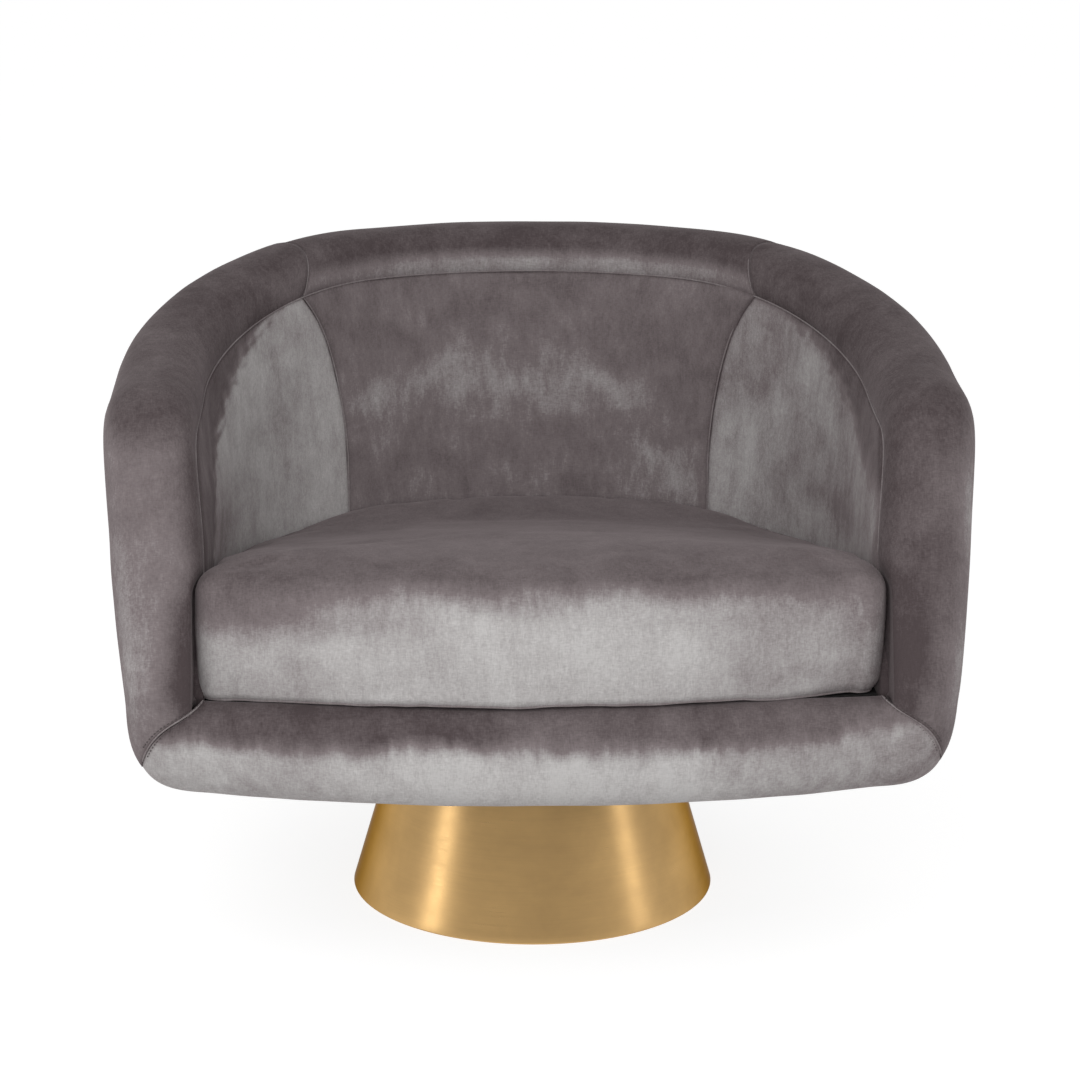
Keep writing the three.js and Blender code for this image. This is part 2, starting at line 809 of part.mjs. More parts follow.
function insideSide(side) {
  const footDrop = railTopHeight - insideFoot(frontRun(railTopHeight));
  const footStage = frontStage + footDrop / footHeight;
  const high = (a) => seamLineOffset(lerp(rimGapStage, rimStage, a), -clearance);
  const far = (b) => frontEdge(b, footStage);
  const near = (b) => {
    const run = insideSeamRun(lerp(railTopHeight, backSeamHeight, b)) + clearance / 2;
    const top = rimOffset(run, -clearance);
    return new THREE.Vector2(lerp(run, top.x, b), lerp(insideFoot(run), top.y, b));
  };
  const low = (a) => {
    const run = lerp(near(0).x, far(0).x, a);
    return new THREE.Vector2(run, lerp(insideFoot(run), far(0).y, a));
  };
  const place = (a, b) => {
    const at = coons(low, high, near, far, a, b);
    return at.setX(side * at.x);
  };
  return sheet(shares(12), sidePanelRows, place, insideFace, insidePadBack);
}

// Rows of the outside covers: the round foot first, closely spaced, then the wall above it
const footShare = 0.4;
const footRows = shares(footSteps).map((share) => share * footShare);
const wallRows = sidePanelRows.map((share) => lerp(footShare, 1, share));
const outsideRows = [...footRows, ...wallRows.slice(1)];

function coverFace(run, height) {
  return outerPoint(run, height);
}

function outsideBack() {
  const half = rollSeamRun - clearance / 2;
  const place = (a, b) => {
    const run = lerp(-half, half, a);
    if (b < footShare) return new THREE.Vector2(run, footLevel(b / footShare));
    const rise = (b - footShare) / (1 - footShare);
    const top = rimOffset(run, -clearance);
    return new THREE.Vector2(lerp(run, top.x, rise), lerp(railTopHeight, top.y, rise));
  };
  return sheet(shares(16), outsideRows, place, coverFace, coverBack);
}

function outsideSide(side) {
  const start = rollSeamRun + clearance / 2;
  const high = (a) => seamLineOffset(lerp(rimGapStage / 2, rimStage, a), -clearance);
  const near = (b) => new THREE.Vector2(lerp(start, high(0).x, b), lerp(railTopHeight, high(0).y, b));
  const far = (b) => frontEdge(b, frontStage);
  const low = (a) => near(0).lerp(far(0), a);
  const place = (a, b) => {
    if (b < footShare) {
      const level = footLevel(b / footShare);
      return new THREE.Vector2(side * lerp(start, frontRun(level) - clearance, a), level);
    }
    const at = coons(low, high, near, far, a, (b - footShare) / (1 - footShare));
    return at.setX(side * at.x);
  };
  return sheet(shares(14), outsideRows, place, coverFace, coverBack);
}

// Section of the roll: across from its inner to its outer seam, and out to its full rise
const rollSection = shares(sectionSteps).map((share) => {
  const angle = Math.PI * share;
  const side = Math.cos(angle);
  const across = (1 - Math.sign(side) * Math.pow(Math.abs(side), 2 / rollPower)) / 2;
  return new THREE.Vector2(across, Math.pow(Math.abs(Math.sin(angle)), 2 / rollPower));
});

function rollBack() {
  const stations = between(-1, 1, 16).map((share) => (across, out) => {
    const half = rollSeamRun - out * rollSeamLean - clearance / 2;
    const at = rimOffset(share * half, out * rollRise);
    return wallPoint(at.x, at.y, across);
  });
  return loft(rollSection, stations);
}

// Section of the roll as it swings round the lower corner, from the arm's front to the rail
function cornerSection(side, swing, across, out, slack) {
  const acrossTerm = Math.pow(Math.cos(swing) / footReach, footPower);
  const downTerm = Math.pow(Math.sin(swing) / footHeight, footPower);
  const reach = Math.pow(acrossTerm + downTerm, -1 / footPower) * across;
  const height = railTopHeight - reach * Math.sin(swing);
  const x = cornerHalf + reach * Math.cos(swing);
  const share = swing / (Math.PI / 2);
  const armOut = new THREE.Vector3(0, -Math.cos(armRakeAngle), Math.sin(armRakeAngle));
  const outward = armOut.lerp(new THREE.Vector3(0, -1, 0), share).normalize();
  const rise = out * lerp(rollRise, frontRollRise, share);
  const point = new THREE.Vector3(side * (x - slack), frontY(height), height - slack);
  return point.add(outward.multiplyScalar(rise));
}

function rollSide(side) {
  const rim = between(rimGapStage / 2, rimStage, 11);
  const corner = between(rimStage, cornerStage, cornerSteps).slice(1);
  const stages = [...rim, ...corner, ...between(cornerStage, frontStage, 6).slice(1)];
  const stations = stages.map((stage) => (across, out) => {
    const at = seamLineOffset(stage, out * rollRise, out);
    return wallPoint(side * at.x, at.y, across);
  });
  for (const swing of between(0, mitreAngle, 4).slice(1)) {
    stations.push((across, out) => cornerSection(side, swing, across, out, 0));
  }
  return loft(rollSection, stations);
}

function frontCover() {
  const half = cornerHalf - clearance;
  const corner = (side, swing) => (across, out) => cornerSection(side, swing, across, out, clearance);
  const left = between(mitreAngle, Math.PI / 2, 3).map((swing) => corner(-1, swing));
  const middle = between(-half, half, 14).slice(1, -1).map((x) => (across, out) => {
    const height = lerp(railTopHeight, undersideHeight, across);
    return new THREE.Vector3(x, railBackY(x, height) - out * frontRollRise, height - clearance);
  });
  const right = between(Math.PI / 2, mitreAngle, 3).map((swing) => corner(1, swing));
  return loft(rollSection, [...left, ...middle, ...right]);
}

// Seat cushion: a crowned pad with a bowed front, drawn in along its sides and seams
const cushionHalf = cornerHalf - cushionWallGap;
const cushionFrontReach = curveCentreY - frontCentreY + cushionOverhang;
const cushionRearReach = innerBack(deckTop(innerReach / 2)) - cushionWallGap;

function cushionPlan(points) {
  const frontLine = (share) => cushionFrontBow * share * share - cushionFrontReach;
  const sideEnd = frontLine(1) + cushionCornerRadius;
  const side = shares(6).slice(1).map((share) => {
    const drawIn = cushionSideDrawIn * Math.sin(Math.PI * share);
    return new THREE.Vector3(cushionHalf - drawIn, sideEnd * share, 0);
  });
  const corner = shares(4).slice(1, -1).map((share) => {
    const turn = share * (Math.PI / 2);
    const x = cushionHalf - cushionCornerRadius * (1 - Math.cos(turn));
    return new THREE.Vector3(x, sideEnd - cushionCornerRadius * Math.sin(turn), 0);
  });
  const flat = cushionHalf - cushionCornerRadius;
  const front = between(1, -1, 10).map((share) => {
    return new THREE.Vector3(flat * share, frontLine(share), 0);
  });
  const right = [...side, ...corner];
  const left = [...right].reverse().map((point) => point.clone().setX(-point.x));
  const back = shares(roundSides / 2).slice(0, -1).map((share) => {
    const turn = Math.PI * (1 - share);
    return new THREE.Vector3(cushionHalf * Math.cos(turn), cushionRearReach * Math.sin(turn), 0);
  });
  const whole = new THREE.CatmullRomCurve3([...right, ...front, ...left, ...back.slice(1)], true);
  return whole.getSpacedPoints(points).slice(0, -1);
}

// Shares of the half width and of the thickness, from the flat bottom up over the edge
const cushionRingShares = [
  [0.5, 0], [0.94, 0], [0.975, 0.05], [0.995, 0.2], [1, 0.45], [0.997, 0.7],
  [0.98, 0.87], [0.95, 0.955], [0.9, 0.99], [0.7, 1], [0.4, 1],
];

// Shares of the depth over which the cushion thins behind its front, and thickens at its back
const cushionFallShares = [0.1, 0.62];
const cushionRiseShares = [0.74, 0.92];

function seatCushion() {
  const outline = cushionPlan(cushionSides);
  const bottom = (y) => deckTop(y) + 2 * clearance;
  const thickness = (y) => {
    const share = (y - frontCentreY) / (cushionRearReach + curveCentreY - frontCentreY);
    const fall = smoothstep(share, ...cushionFallShares);
    const rise = smoothstep(share, ...cushionRiseShares);
    const front = lerp(cushionFrontThickness, cushionWaistThickness, fall);
    return front + (cushionRearThickness - cushionWaistThickness) * rise;
  };
  const top = (y, share) => thickness(y) + cushionCrown * (1 - share * share);
  const loops = cushionRingShares.map(([share, up]) => outline.map((point) => {
    const y = curveCentreY + share * point.y;
    const height = bottom(y) + up * top(y, share);
    const lean = innerBack(height) - cushionWallGap - cushionRearReach;
    const back = point.y > 0 ? share * lean * (point.y / cushionRearReach) : 0;
    return new THREE.Vector3(share * point.x, y + back, height);
  }));
  const centre = (height) => new THREE.Vector3(0, curveCentreY, height);
  return rings(loops, centre(bottom(curveCentreY)), centre(bottom(curveCentreY) + top(curveCentreY, 0)));
}

// Assembly

function addPart(group, name, geometry, finish) {
  const mesh = new THREE.Mesh(geometry, new THREE.MeshStandardMaterial(finish));
  mesh.name = name;
  group.add(mesh);
}

const sides = [["left", -1], ["right", 1]];

const pedestal = new THREE.Group();
addPart(pedestal, "base_cone", baseCone(), brushedBrass);
addPart(pedestal, "base_plate", coneDisc(glideThickness, basePlateHigh), darkSteel);
for (let k = 0; k < glideCount; k += 1) {
  const angle = (2 * Math.PI * (k + 0.5)) / glideCount;
  const x = glideCircleRadius * Math.cos(angle);
  const y = glideCircleRadius * Math.sin(angle);
  const glide = disc(glideRadius, 0, glideThickness, smallSides).translate(x, y, 0);
  addPart(pedestal, `glide_${k + 1}`, glide, glideFelt);
}
addPart(pedestal, "column", column(), darkSteel);
addPart(pedestal, "top_plate", topPlate(), darkSteel);
addPart(pedestal, "swivel_lower_plate", swivelPlate(lowerPlateLow), steel);
addPart(pedestal, "swivel_pin", swivelPin(), steel);
boltPlaces.forEach((place, k) => {
  addPart(pedestal, `lower_bolt_${k + 1}`, bolt(place, lowerPlateHigh, false), steel);
});

const cage = new THREE.Group();
addPart(cage, "ball_cage", ballCage(), steel);

const tub = new THREE.Group();
addPart(tub, "swivel_upper_plate", swivelPlate(upperPlateLow), steel);
boltPlaces.forEach((place, k) => {
  addPart(tub, `upper_bolt_${k + 1}`, bolt(place, upperPlateLow, true), steel);
});
addPart(tub, "seat_board", seatBoard(), plywood);
addPart(tub, "dust_cover", dustCover(), webbing);
addPart(tub, "front_rail", frontRail(), timber);
addPart(tub, "back_rail", seatRail(-rollSeamRun, rollSeamRun), plywood);
addPart(tub, "back_top_rail", backTopRail(), plywood);
for (let k = 0; k < springCount; k += 1) {
  const x = (k - (springCount - 1) / 2) * springSpacingShare * 2 * innerHalfWidth;
  addPart(tub, `spring_${k + 1}`, spring(x), darkSteel);
}
addPart(tub, "deck", deck(), webbing);
[-backStudShare, 0, backStudShare].forEach((share, k) => {
  addPart(tub, `back_stud_${k + 1}`, stud(share * quarterRun), timber);
});
for (const [name, side] of sides) {
  const railEnds = [side * (rollSeamRun + clearance), side * sideRailEndRun];
  addPart(tub, `side_rail_${name}`, seatRail(...railEnds), plywood);
  addPart(tub, `corner_block_${name}`, cornerBlock(side), timber);
  addPart(tub, `arm_rail_${name}`, armRail(side), plywood);
  addPart(tub, `arm_post_${name}`, armPost(side), plywood);
  sideStudShares.forEach((share, k) => {
    addPart(tub, `side_stud_${name}_${k + 1}`, stud(side * share * cornerPeak.x), timber);
  });
  addPart(tub, `inside_${name}`, insideSide(side), velvet);
  addPart(tub, `outside_${name}`, outsideSide(side), velvet);
  addPart(tub, `roll_${name}`, rollSide(side), velvet);
}
addPart(tub, "inside_back", insideBack(), velvet);
addPart(tub, "outside_back", outsideBack(), velvet);
addPart(tub, "roll_back", rollBack(), velvet);
addPart(tub, "front_cover", frontCover(), velvet);

const cushion = new THREE.Group();
addPart(cushion, "seat_cushion", seatCushion(), velvet);

const chair = new THREE.Group();
chair.add(pedestal, cage, tub, cushion);

export default chair;
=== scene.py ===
"""Looks of the swivel tub armchair: crushed velvet pieces, brushed pedestal and studio."""

import json
import math

import bmesh
import bpy
import numpy as np
from bpy.props import FloatProperty, FloatVectorProperty, PointerProperty
from mathutils import Matrix, Vector


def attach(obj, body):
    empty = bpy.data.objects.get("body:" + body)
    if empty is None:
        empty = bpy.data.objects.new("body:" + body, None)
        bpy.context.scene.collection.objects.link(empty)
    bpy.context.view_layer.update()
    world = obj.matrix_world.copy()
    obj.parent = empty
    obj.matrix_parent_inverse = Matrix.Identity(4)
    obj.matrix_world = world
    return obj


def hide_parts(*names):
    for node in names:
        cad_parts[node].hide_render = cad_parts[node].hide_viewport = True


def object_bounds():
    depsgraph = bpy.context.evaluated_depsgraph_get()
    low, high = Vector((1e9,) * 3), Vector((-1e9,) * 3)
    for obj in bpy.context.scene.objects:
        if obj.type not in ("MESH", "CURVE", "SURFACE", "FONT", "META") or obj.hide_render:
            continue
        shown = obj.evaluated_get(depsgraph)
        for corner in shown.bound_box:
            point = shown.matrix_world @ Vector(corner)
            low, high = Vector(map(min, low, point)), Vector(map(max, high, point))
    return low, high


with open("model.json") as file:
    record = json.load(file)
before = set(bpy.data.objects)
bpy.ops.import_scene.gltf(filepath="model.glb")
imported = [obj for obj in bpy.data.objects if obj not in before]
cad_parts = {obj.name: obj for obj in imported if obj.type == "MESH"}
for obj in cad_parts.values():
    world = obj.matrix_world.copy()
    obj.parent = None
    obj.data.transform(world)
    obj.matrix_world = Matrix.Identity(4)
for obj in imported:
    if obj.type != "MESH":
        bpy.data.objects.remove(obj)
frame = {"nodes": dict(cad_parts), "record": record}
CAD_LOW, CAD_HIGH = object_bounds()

bl_info = {
    "name": "Swivel tub armchair",
    "version": (1, 0, 0),
    "blender": (4, 5, 0),
    "location": "View3D > Sidebar > Armchair",
    "description": "Velvet tub armchair with a loose cushion on a swivelling metal cone",
    "category": "Object",
}


SEAM_GAP = 0.0003  # Half the gap between two pieces that meet along a seam
RIM_GAP = 0.0005  # Gap between a panel and the roll
SEAM_SINK = 0.0012  # How deep the rim's seams lie in the wall's faces
CROSS_SEAM = 0.965  # Share of the roll's rise at which the seams across it lie
DRAW_IN = 0.0018  # How far a cover is drawn in at its seams
DRAW_REACH = 0.005  # How far from a seam that fades
SEAM_STEP = 0.004  # Step between the points of a raised seam
PANEL_DEPTH = 0.02  # Thickness of the inside panels
PANEL_DROP = 0.0115  # How far they go down below the deck's top
COVER_DEPTH = 0.005  # Thickness of the outside covers
STRAIGHT_SHARE = 0.88  # Share of a side panel's rows beside the arm's front
STITCH = 0.0052  # From one stitch to the next
MIX_SHARE, MIX_FIRST, MIX_SECOND = 0, 6, 7  # Colour sockets of a Mix node
SIDES = ((-1, "left"), (1, "right"))

# Patches of lighter and darker nap on each piece, partly real brushed nap and partly painted light
# and shade, such as painted shadow low beside the cushion and painted sheen on the right arm's
# outer edge: a centre, a (wide, tall) reach and a strength
NAP_LIGHT_AND_SHADE_PATCHES = {
    "roll_left": [
        ((-0.46, -0.38, 0.52), (0.07, 0.08), 0.12),
        ((-0.46, -0.41, 0.40), (0.06, 0.09), 0.20),
        ((-0.42, -0.42, 0.375), (0.03, 0.02), -0.16),
        ((-0.44, -0.10, 0.70), (0.09, 0.05), 0.06),
    ],
    "roll_right": [
        ((0.505, -0.33, 0.58), (0.035, 0.09), 0.30),
        ((0.470, -0.25, 0.60), (0.03, 0.05), -0.12),
        ((0.49, -0.40, 0.42), (0.04, 0.07), 0.30),
        ((0.45, -0.42, 0.35), (0.04, 0.03), 0.22),
    ],
    "inside_back": [
        ((-0.19, 0.25, 0.590), (0.11, 0.045), 0.24),
        ((-0.07, 0.28, 0.605), (0.05, 0.045), 0.14),
        ((0.05, 0.29, 0.590), (0.11, 0.045), 0.25),
        ((0.15, 0.27, 0.560), (0.05, 0.040), 0.08),
        ((-0.15, 0.25, 0.520), (0.06, 0.030), 0.06),
        ((0.17, 0.24, 0.490), (0.06, 0.045), 0.17),
    ],
    "inside_left": [
        ((-0.42, -0.12, 0.480), (0.10, 0.060), -0.42),
        ((-0.31, 0.14, 0.600), (0.04, 0.05), -0.10),
        ((-0.29, 0.19, 0.690), (0.06, 0.03), -0.14),
        ((-0.38, 0.04, 0.620), (0.04, 0.05), 0.06),
    ],
    "inside_right": [
        ((0.36, 0.09, 0.655), (0.035, 0.030), 0.16),
        ((0.375, 0.03, 0.600), (0.035, 0.022), 0.16),
        ((0.30, 0.16, 0.620), (0.03, 0.045), -0.10),
        ((0.285, 0.165, 0.500), (0.018, 0.07), 0.22),
        ((0.25, 0.19, 0.500), (0.02, 0.07), 0.20),
        ((0.395, -0.06, 0.500), (0.05, 0.04), -0.20),
    ],
    "outside_left": [((-0.49, -0.15, 0.50), (0.2, 0.08), 0.12)],
    "outside_right": [((0.49, -0.15, 0.50), (0.2, 0.08), 0.12)],
    "front_cover": [((0.44, -0.40, 0.350), (0.05, 0.022), 0.22)],
}


# Sizes and colours


def number(name, description, default, **kind):
    return FloatProperty(name=name, description=description, default=default, **kind)


def length(name, description, default):
    return number(name, description, default, unit="LENGTH", precision=4)


def angle(name, description, degrees):
    return number(name, description, math.radians(degrees), subtype="ANGLE")


def colour(name, description, default):
    return FloatVectorProperty(
        name=name, description=description, default=default, subtype="COLOR", size=3, min=0, max=1
    )


class ArmchairSizes(bpy.types.PropertyGroup):
    width: length("Width", "Across the tub's outside", 1.016)
    depth: length("Depth", "From the front rail to the back", CAD_HIGH.y - CAD_LOW.y)
    rail_top: length("Rail top", "Height of the seat rail", 0.362)
    front_cover: length("Front cover", "Height of the front rail's cover", 0.120)
    arm_seam: length("Arm seam", "Height of the roll's seams on the arms", 0.648)
    back_seam: length("Back seam", "Height of the roll's seams at the back", 0.737)
    roll_rise: length("Roll rise", "How far the roll stands out from its seams", 0.057)
    front_rise: length("Front rise", "How far the front cover stands out", 0.053)
    wall: length("Wall", "Thickness of the tub's wall", 0.108)
    curve_y: length("Curve centre", "Where the plan's back curve starts", -0.100)
    lean_start: length("Lean start", "Height from which the outside leans in", 0.665)
    lean_top: angle("Upper lean", "Lean of the outside near the rim", 2.6)
    lean_foot: angle("Lower lean", "Lean of the outside near its foot", 9.7)
    foot_power: number("Foot power", "How square the round foot is", 3.0)
    roll_power: number("Roll power", "How square the roll's section is", 2.4)
    side_pinch: length("Side pinch", "How far the inside draws in at the seat", 0.010)
    pinch_height: length("Pinch height", "Height where the draw-in ends", 0.500)
    back_lean: angle("Back lean", "Slope of the inside of the back", 11.8)
    front_bow: length("Front bow", "Bow of the front rail", 0.029)
    arm_rake: angle("Arm rake", "Slope of the arms' fronts", 20.9)
    tuck: angle("Tuck", "How the front turns under the rail", 13.5)
    corner: length("Corner", "Reach of the arms' top corners", 0.032)
    rim_level: length("Level rim", "Run of the rim that is level", 0.210)
    rim_fall: length("Falling rim", "Run over which the rim falls", 0.603)
    roll_seam: length("Roll seam", "Run of the seam across the roll", 0.340)
    roll_seam_lean: length("Roll seam lean", "How far that seam leans inwards", 0.034)
    inside_seam: length("Inside seam", "Run of the inside seam at the seat", 0.270)
    inside_seam_power: number("Inside seam power", "How late the inside seam turns", 5.0)
    mitre: angle("Mitre", "Swing of the mitre seams", 50.0)
    mitre_bow: angle("Mitre bow", "How far the mitre seams bow upwards between their ends", 11.0)
    deck_pitch: angle("Deck pitch", "Slope of the deck", 2.5)


class CushionSizes(bpy.types.PropertyGroup):
    gap: length("Gap", "Room between the cushion and the wall", 0.001)
    overhang: length("Overhang", "How far it stands over the front rail", 0.031)
    front_thickness: length("Front thickness", "Thickness at the front", 0.152)
    waist_thickness: length("Waist thickness", "Thickness where the cushion is thinnest", 0.098)
    rear_thickness: length("Rear thickness", "Thickness at the back", 0.112)
    crown: length("Crown", "Rise of its middle", 0.012)
    bow: length("Bow", "Bow of its front", 0.046)
    draw_in: length("Draw-in", "How far its sides draw in", 0.004)
    corner: length("Corner", "Radius of its front corners", 0.034)
    shoulder: length("Shoulder", "Radius of its top edge beside the arms", 0.028)
    front_round: length("Front round", "How far back the front's top edge is round", 0.046)
    front_drop: length("Front drop", "How far down the front's top edge is round", 0.040)
    puff: length("Puff", "Most that the filling may push a point", 0.006)
    panel_swell: length("Panel swell", "Room left behind it for the swollen back panel", 0.0042)
    swell_left: length("Left swell", "How far it swells past the left arm's seam", 0.013)
    swell_right: length("Right swell", "How far it swells past the right arm's seam", 0.009)


class PedestalSizes(bpy.types.PropertyGroup):
    foot_radius: length("Foot radius", "Cone's radius on the floor", 0.231)
    top_radius: length("Top radius", "Cone's radius under the tub", 0.163)
    foot_height: length("Foot height", "Height of the cone's rim over the floor", 0.001)
    top_height: length("Top height", "Height of the cone's top", 0.234)
    sheet: length("Sheet", "Thickness of the metal", 0.002)
    flange: length("Flange", "Width of the turned-in foot", 0.016)


# Velvet tones mixed by each piece's painted light and shade and its mottling: the dark tone carries
# the painted shade, the light tone the painted sheen.
class VelvetColours(bpy.types.PropertyGroup):
    dark: colour("Dark nap", "Where the nap leans away", (0.078, 0.061, 0.063))
    middle: colour("Middle nap", "Between the two", (0.205, 0.174, 0.177))
    light: colour("Light nap", "Where the nap catches the light", (0.505, 0.490, 0.484))
    thread: colour("Thread", "Stitching", (0.13, 0.11, 0.11))
    brass: colour("Brass", "The cone's metal", (0.64, 0.41, 0.175))


class StudioSizes(bpy.types.PropertyGroup):
    distance: length("Distance", "From the camera to the chair's axis", 3.75)
    height: length("Height", "Camera height over the floor", 1.4514)
    pitch: angle("Pitch", "How far the camera looks down", 14.915)
    turn: angle("Turn", "How far the camera stands to the left", -1.914)
    aim: angle("Aim", "How far it looks aside of the axis", -0.1264)
    roll: angle("Roll", "Tilt of the camera", 0.2048)
    lens: number("Lens", "Focal length in millimetres on a 36 mm sensor", 102.77)
    floor_side: length("Floor", "Side of the floor", 30.0)


# Smooth noise and mesh making


def wave_noise(points, size, seed, waves=14):
    """Smooth noise between about -1 and 1, from sines in fixed directions."""
    source = np.random.default_rng(seed)
    flat = points.reshape(-1, 3)
    total = np.zeros(len(flat))
    for _ in range(waves):
        way = source.normal(size=3)
        way /= np.linalg.norm(way)
        rate = 2 * math.pi / (size * source.uniform(0.7, 1.5))
        total += np.sin(flat @ way * rate + source.uniform(0, 2 * math.pi))
    return (total / math.sqrt(waves)).reshape(points.shape[:-1])


def smooth(low, high, value):
    share = np.clip((value - low) / (high - low), 0, 1)
    return share * share * (3 - 2 * share)


def mix(low, high, share):
    return low + (high - low) * share


def unit(rows):
    """Each row scaled to a length of 1."""
    return rows / np.linalg.norm(rows, axis=1)[:, None]


def relax(points, passes):
    """Evens out kinks from row to row of a grid of points, and leaves its ends."""
    out = points.copy()
    for _ in range(passes):
        out[1:-1] = 0.25 * out[:-2] + 0.5 * out[1:-1] + 0.25 * out[2:]
    return out


def mesh_object(name, points, faces):
    mesh = bpy.data.meshes.new(name)
    mesh.from_pydata(points.tolist(), [], faces)
    body = bmesh.new()
    body.from_mesh(mesh)
    bmesh.ops.remove_doubles(body, verts=body.verts, dist=1e-6)
    bmesh.ops.recalc_face_normals(body, faces=body.faces)
    for face in body.faces:
        face.smooth = True
    body.to_mesh(mesh)
    body.free()
    thing = bpy.data.objects.new(name, mesh)
    bpy.context.scene.collection.objects.link(thing)
    return thing


def grid_faces(rows, columns, start=0, wrap=False, turned=False):
    faces = []
    last = columns if wrap else columns - 1
    for j in range(rows - 1):
        for i in range(last):
            a = start + j * columns + i
            b = start + j * columns + (i + 1) % columns
            face = (a, b, b + columns, a + columns)
            faces.append(face[::-1] if turned else face)
    return faces


def swept(name, stations):
    """A closed body from a grid of stations by section points, with a fan at each end."""
    rows, columns = stations.shape[:2]
    count = rows * columns
    faces = grid_faces(rows, columns, wrap=True)
    for i in range(columns):
        after = (i + 1) % columns
        faces.append((count, after, i))
        faces.append((count + 1, count - columns + i, count - columns + after))
    centres = np.stack([stations[0].mean(axis=0), stations[-1].mean(axis=0)])
    return mesh_object(name, np.concatenate([stations.reshape(-1, 3), centres]), faces)


def finer(grid, axis, wrap=False):
    """The grid with a smooth point put between each two along one way."""
    rows = np.moveaxis(grid, axis, 0)
    if wrap:
        padded = np.concatenate([rows[-1:], rows, rows[:2]])
    else:
        first, last = 2 * rows[:1] - rows[1:2], 2 * rows[-1:] - rows[-2:-1]
        padded = np.concatenate([first, rows, last])
    middle = (9 * (padded[1:-2] + padded[2:-1]) - padded[:-3] - padded[3:]) / 16
    out = np.empty((len(rows) + len(middle), *rows.shape[1:]))
    out[0::2], out[1::2] = rows, middle
    return np.moveaxis(out, 0, axis)


def panel(name, front, back):
    """A closed body from a front grid and a back grid."""
    rows, columns = front.shape[:2]
    count = rows * columns
    faces = grid_faces(rows, columns) + grid_faces(rows, columns, count, turned=True)
    edge = [(0, i) for i in range(columns)]
    edge += [(j, columns - 1) for j in range(1, rows)]
    edge += [(rows - 1, i) for i in range(columns - 2, -1, -1)]
    edge += [(j, 0) for j in range(rows - 2, 0, -1)]
    ids = [j * columns + i for j, i in edge]
    for a, b in zip(ids, ids[1:] + ids[:1]):
        faces.append((b, a, count + a, count + b))
    points = np.concatenate([front.reshape(-1, 3), back.reshape(-1, 3)])
    return mesh_object(name, points, faces)


def tube(name, path, radius, sides=8):
    """A thin round ridge along a path of points."""
    aside = (0.31, 0.17, 0.93)  # A way that no seam runs
    along = unit(np.gradient(path, axis=0))
    level = unit(np.cross(along, aside))
    upright = np.cross(level, along)
    turns = np.linspace(0, 2 * math.pi, sides, endpoint=False)[None, :, None]
    ring = np.cos(turns) * level[:, None] + np.sin(turns) * upright[:, None]
    steps = np.arange(len(path))
    thin = np.minimum(1, np.minimum(steps, steps[::-1]) / 3 + 0.25)
    return swept(name, path[:, None] + radius * thin[:, None, None] * ring)


def even_path(path, step):
    """The same path with points at even steps."""
    steps = np.linalg.norm(np.diff(path, axis=0), axis=1)
    way = np.concatenate([[0], np.cumsum(steps)])
    count = max(2, int(way[-1] / step) + 1)
    wanted = np.linspace(0, way[-1], count)
    return np.stack([np.interp(wanted, way, path[:, k]) for k in range(3)], axis=1)


def stitches(name, path, lift, pitch, thread):
    """A row of short stitches that follow a path and stand out along lift."""
    spots = even_path(path, pitch)
    along = unit(np.gradient(spots, axis=0))
    points, faces = [], []
    sides, rows = 6, 5
    for k in range(1, len(spots) - 1):
        out = lift[min(k, len(lift) - 1)]
        aside = np.cross(along[k], out)
        start = len(points)
        for share in np.linspace(-1, 1, rows):
            spread = thread * math.sqrt(max(0.04, 1 - share * share))
            middle = spots[k] + along[k] * share * pitch * 0.36 + out * thread * 0.5
            for turn in np.linspace(0, 2 * math.pi, sides, endpoint=False):
                points.append(middle + spread * (math.cos(turn) * aside + math.sin(turn) * out))
        faces += grid_faces(rows, sides, start, wrap=True)
        faces.append(tuple(start + i for i in range(sides)))
        faces.append(tuple(start + (rows - 1) * sides + i for i in range(sides - 1, -1, -1)))
    return mesh_object(name, np.array(points), faces)


def vertex_data(thing):
    mesh = thing.data
    count = len(mesh.vertices)
    places = np.empty(count * 3)
    normals = np.empty(count * 3)
    mesh.vertices.foreach_get("co", places)
    mesh.vertices.foreach_get("normal", normals)
    return places.reshape(-1, 3), normals.reshape(-1, 3)


def move_points(thing, places):
    thing.data.vertices.foreach_set("co", places.ravel())
    thing.data.update()


def nap_light_and_shade_patches(places, node):
    """Sum of the soft patches of a piece, partly real brushed nap and partly painted light and
    shade.
    """
    total = np.zeros(len(places))
    for (x, y, z), (wide, tall), strength in NAP_LIGHT_AND_SHADE_PATCHES.get(node, ()):
        flat = ((places[:, 0] - x) ** 2 + (places[:, 1] - y) ** 2) / wide**2
        total += strength * np.exp(-flat - (places[:, 2] - z) ** 2 / tall**2)
    return total


def painted_seam_shade(places, *paths):
    """1 on the seams, fading within a few millimetres beside them: the mask of the shade painted
    into the seams' valleys.
    """
    step, reach = 0.003, 0.0035
    total = np.zeros(len(places))
    for path in paths:
        for near in even_path(path, step):
            total = np.maximum(total, np.exp(-np.sum((places - near) ** 2, axis=1) / reach**2))
    return total


# Shape of the tub


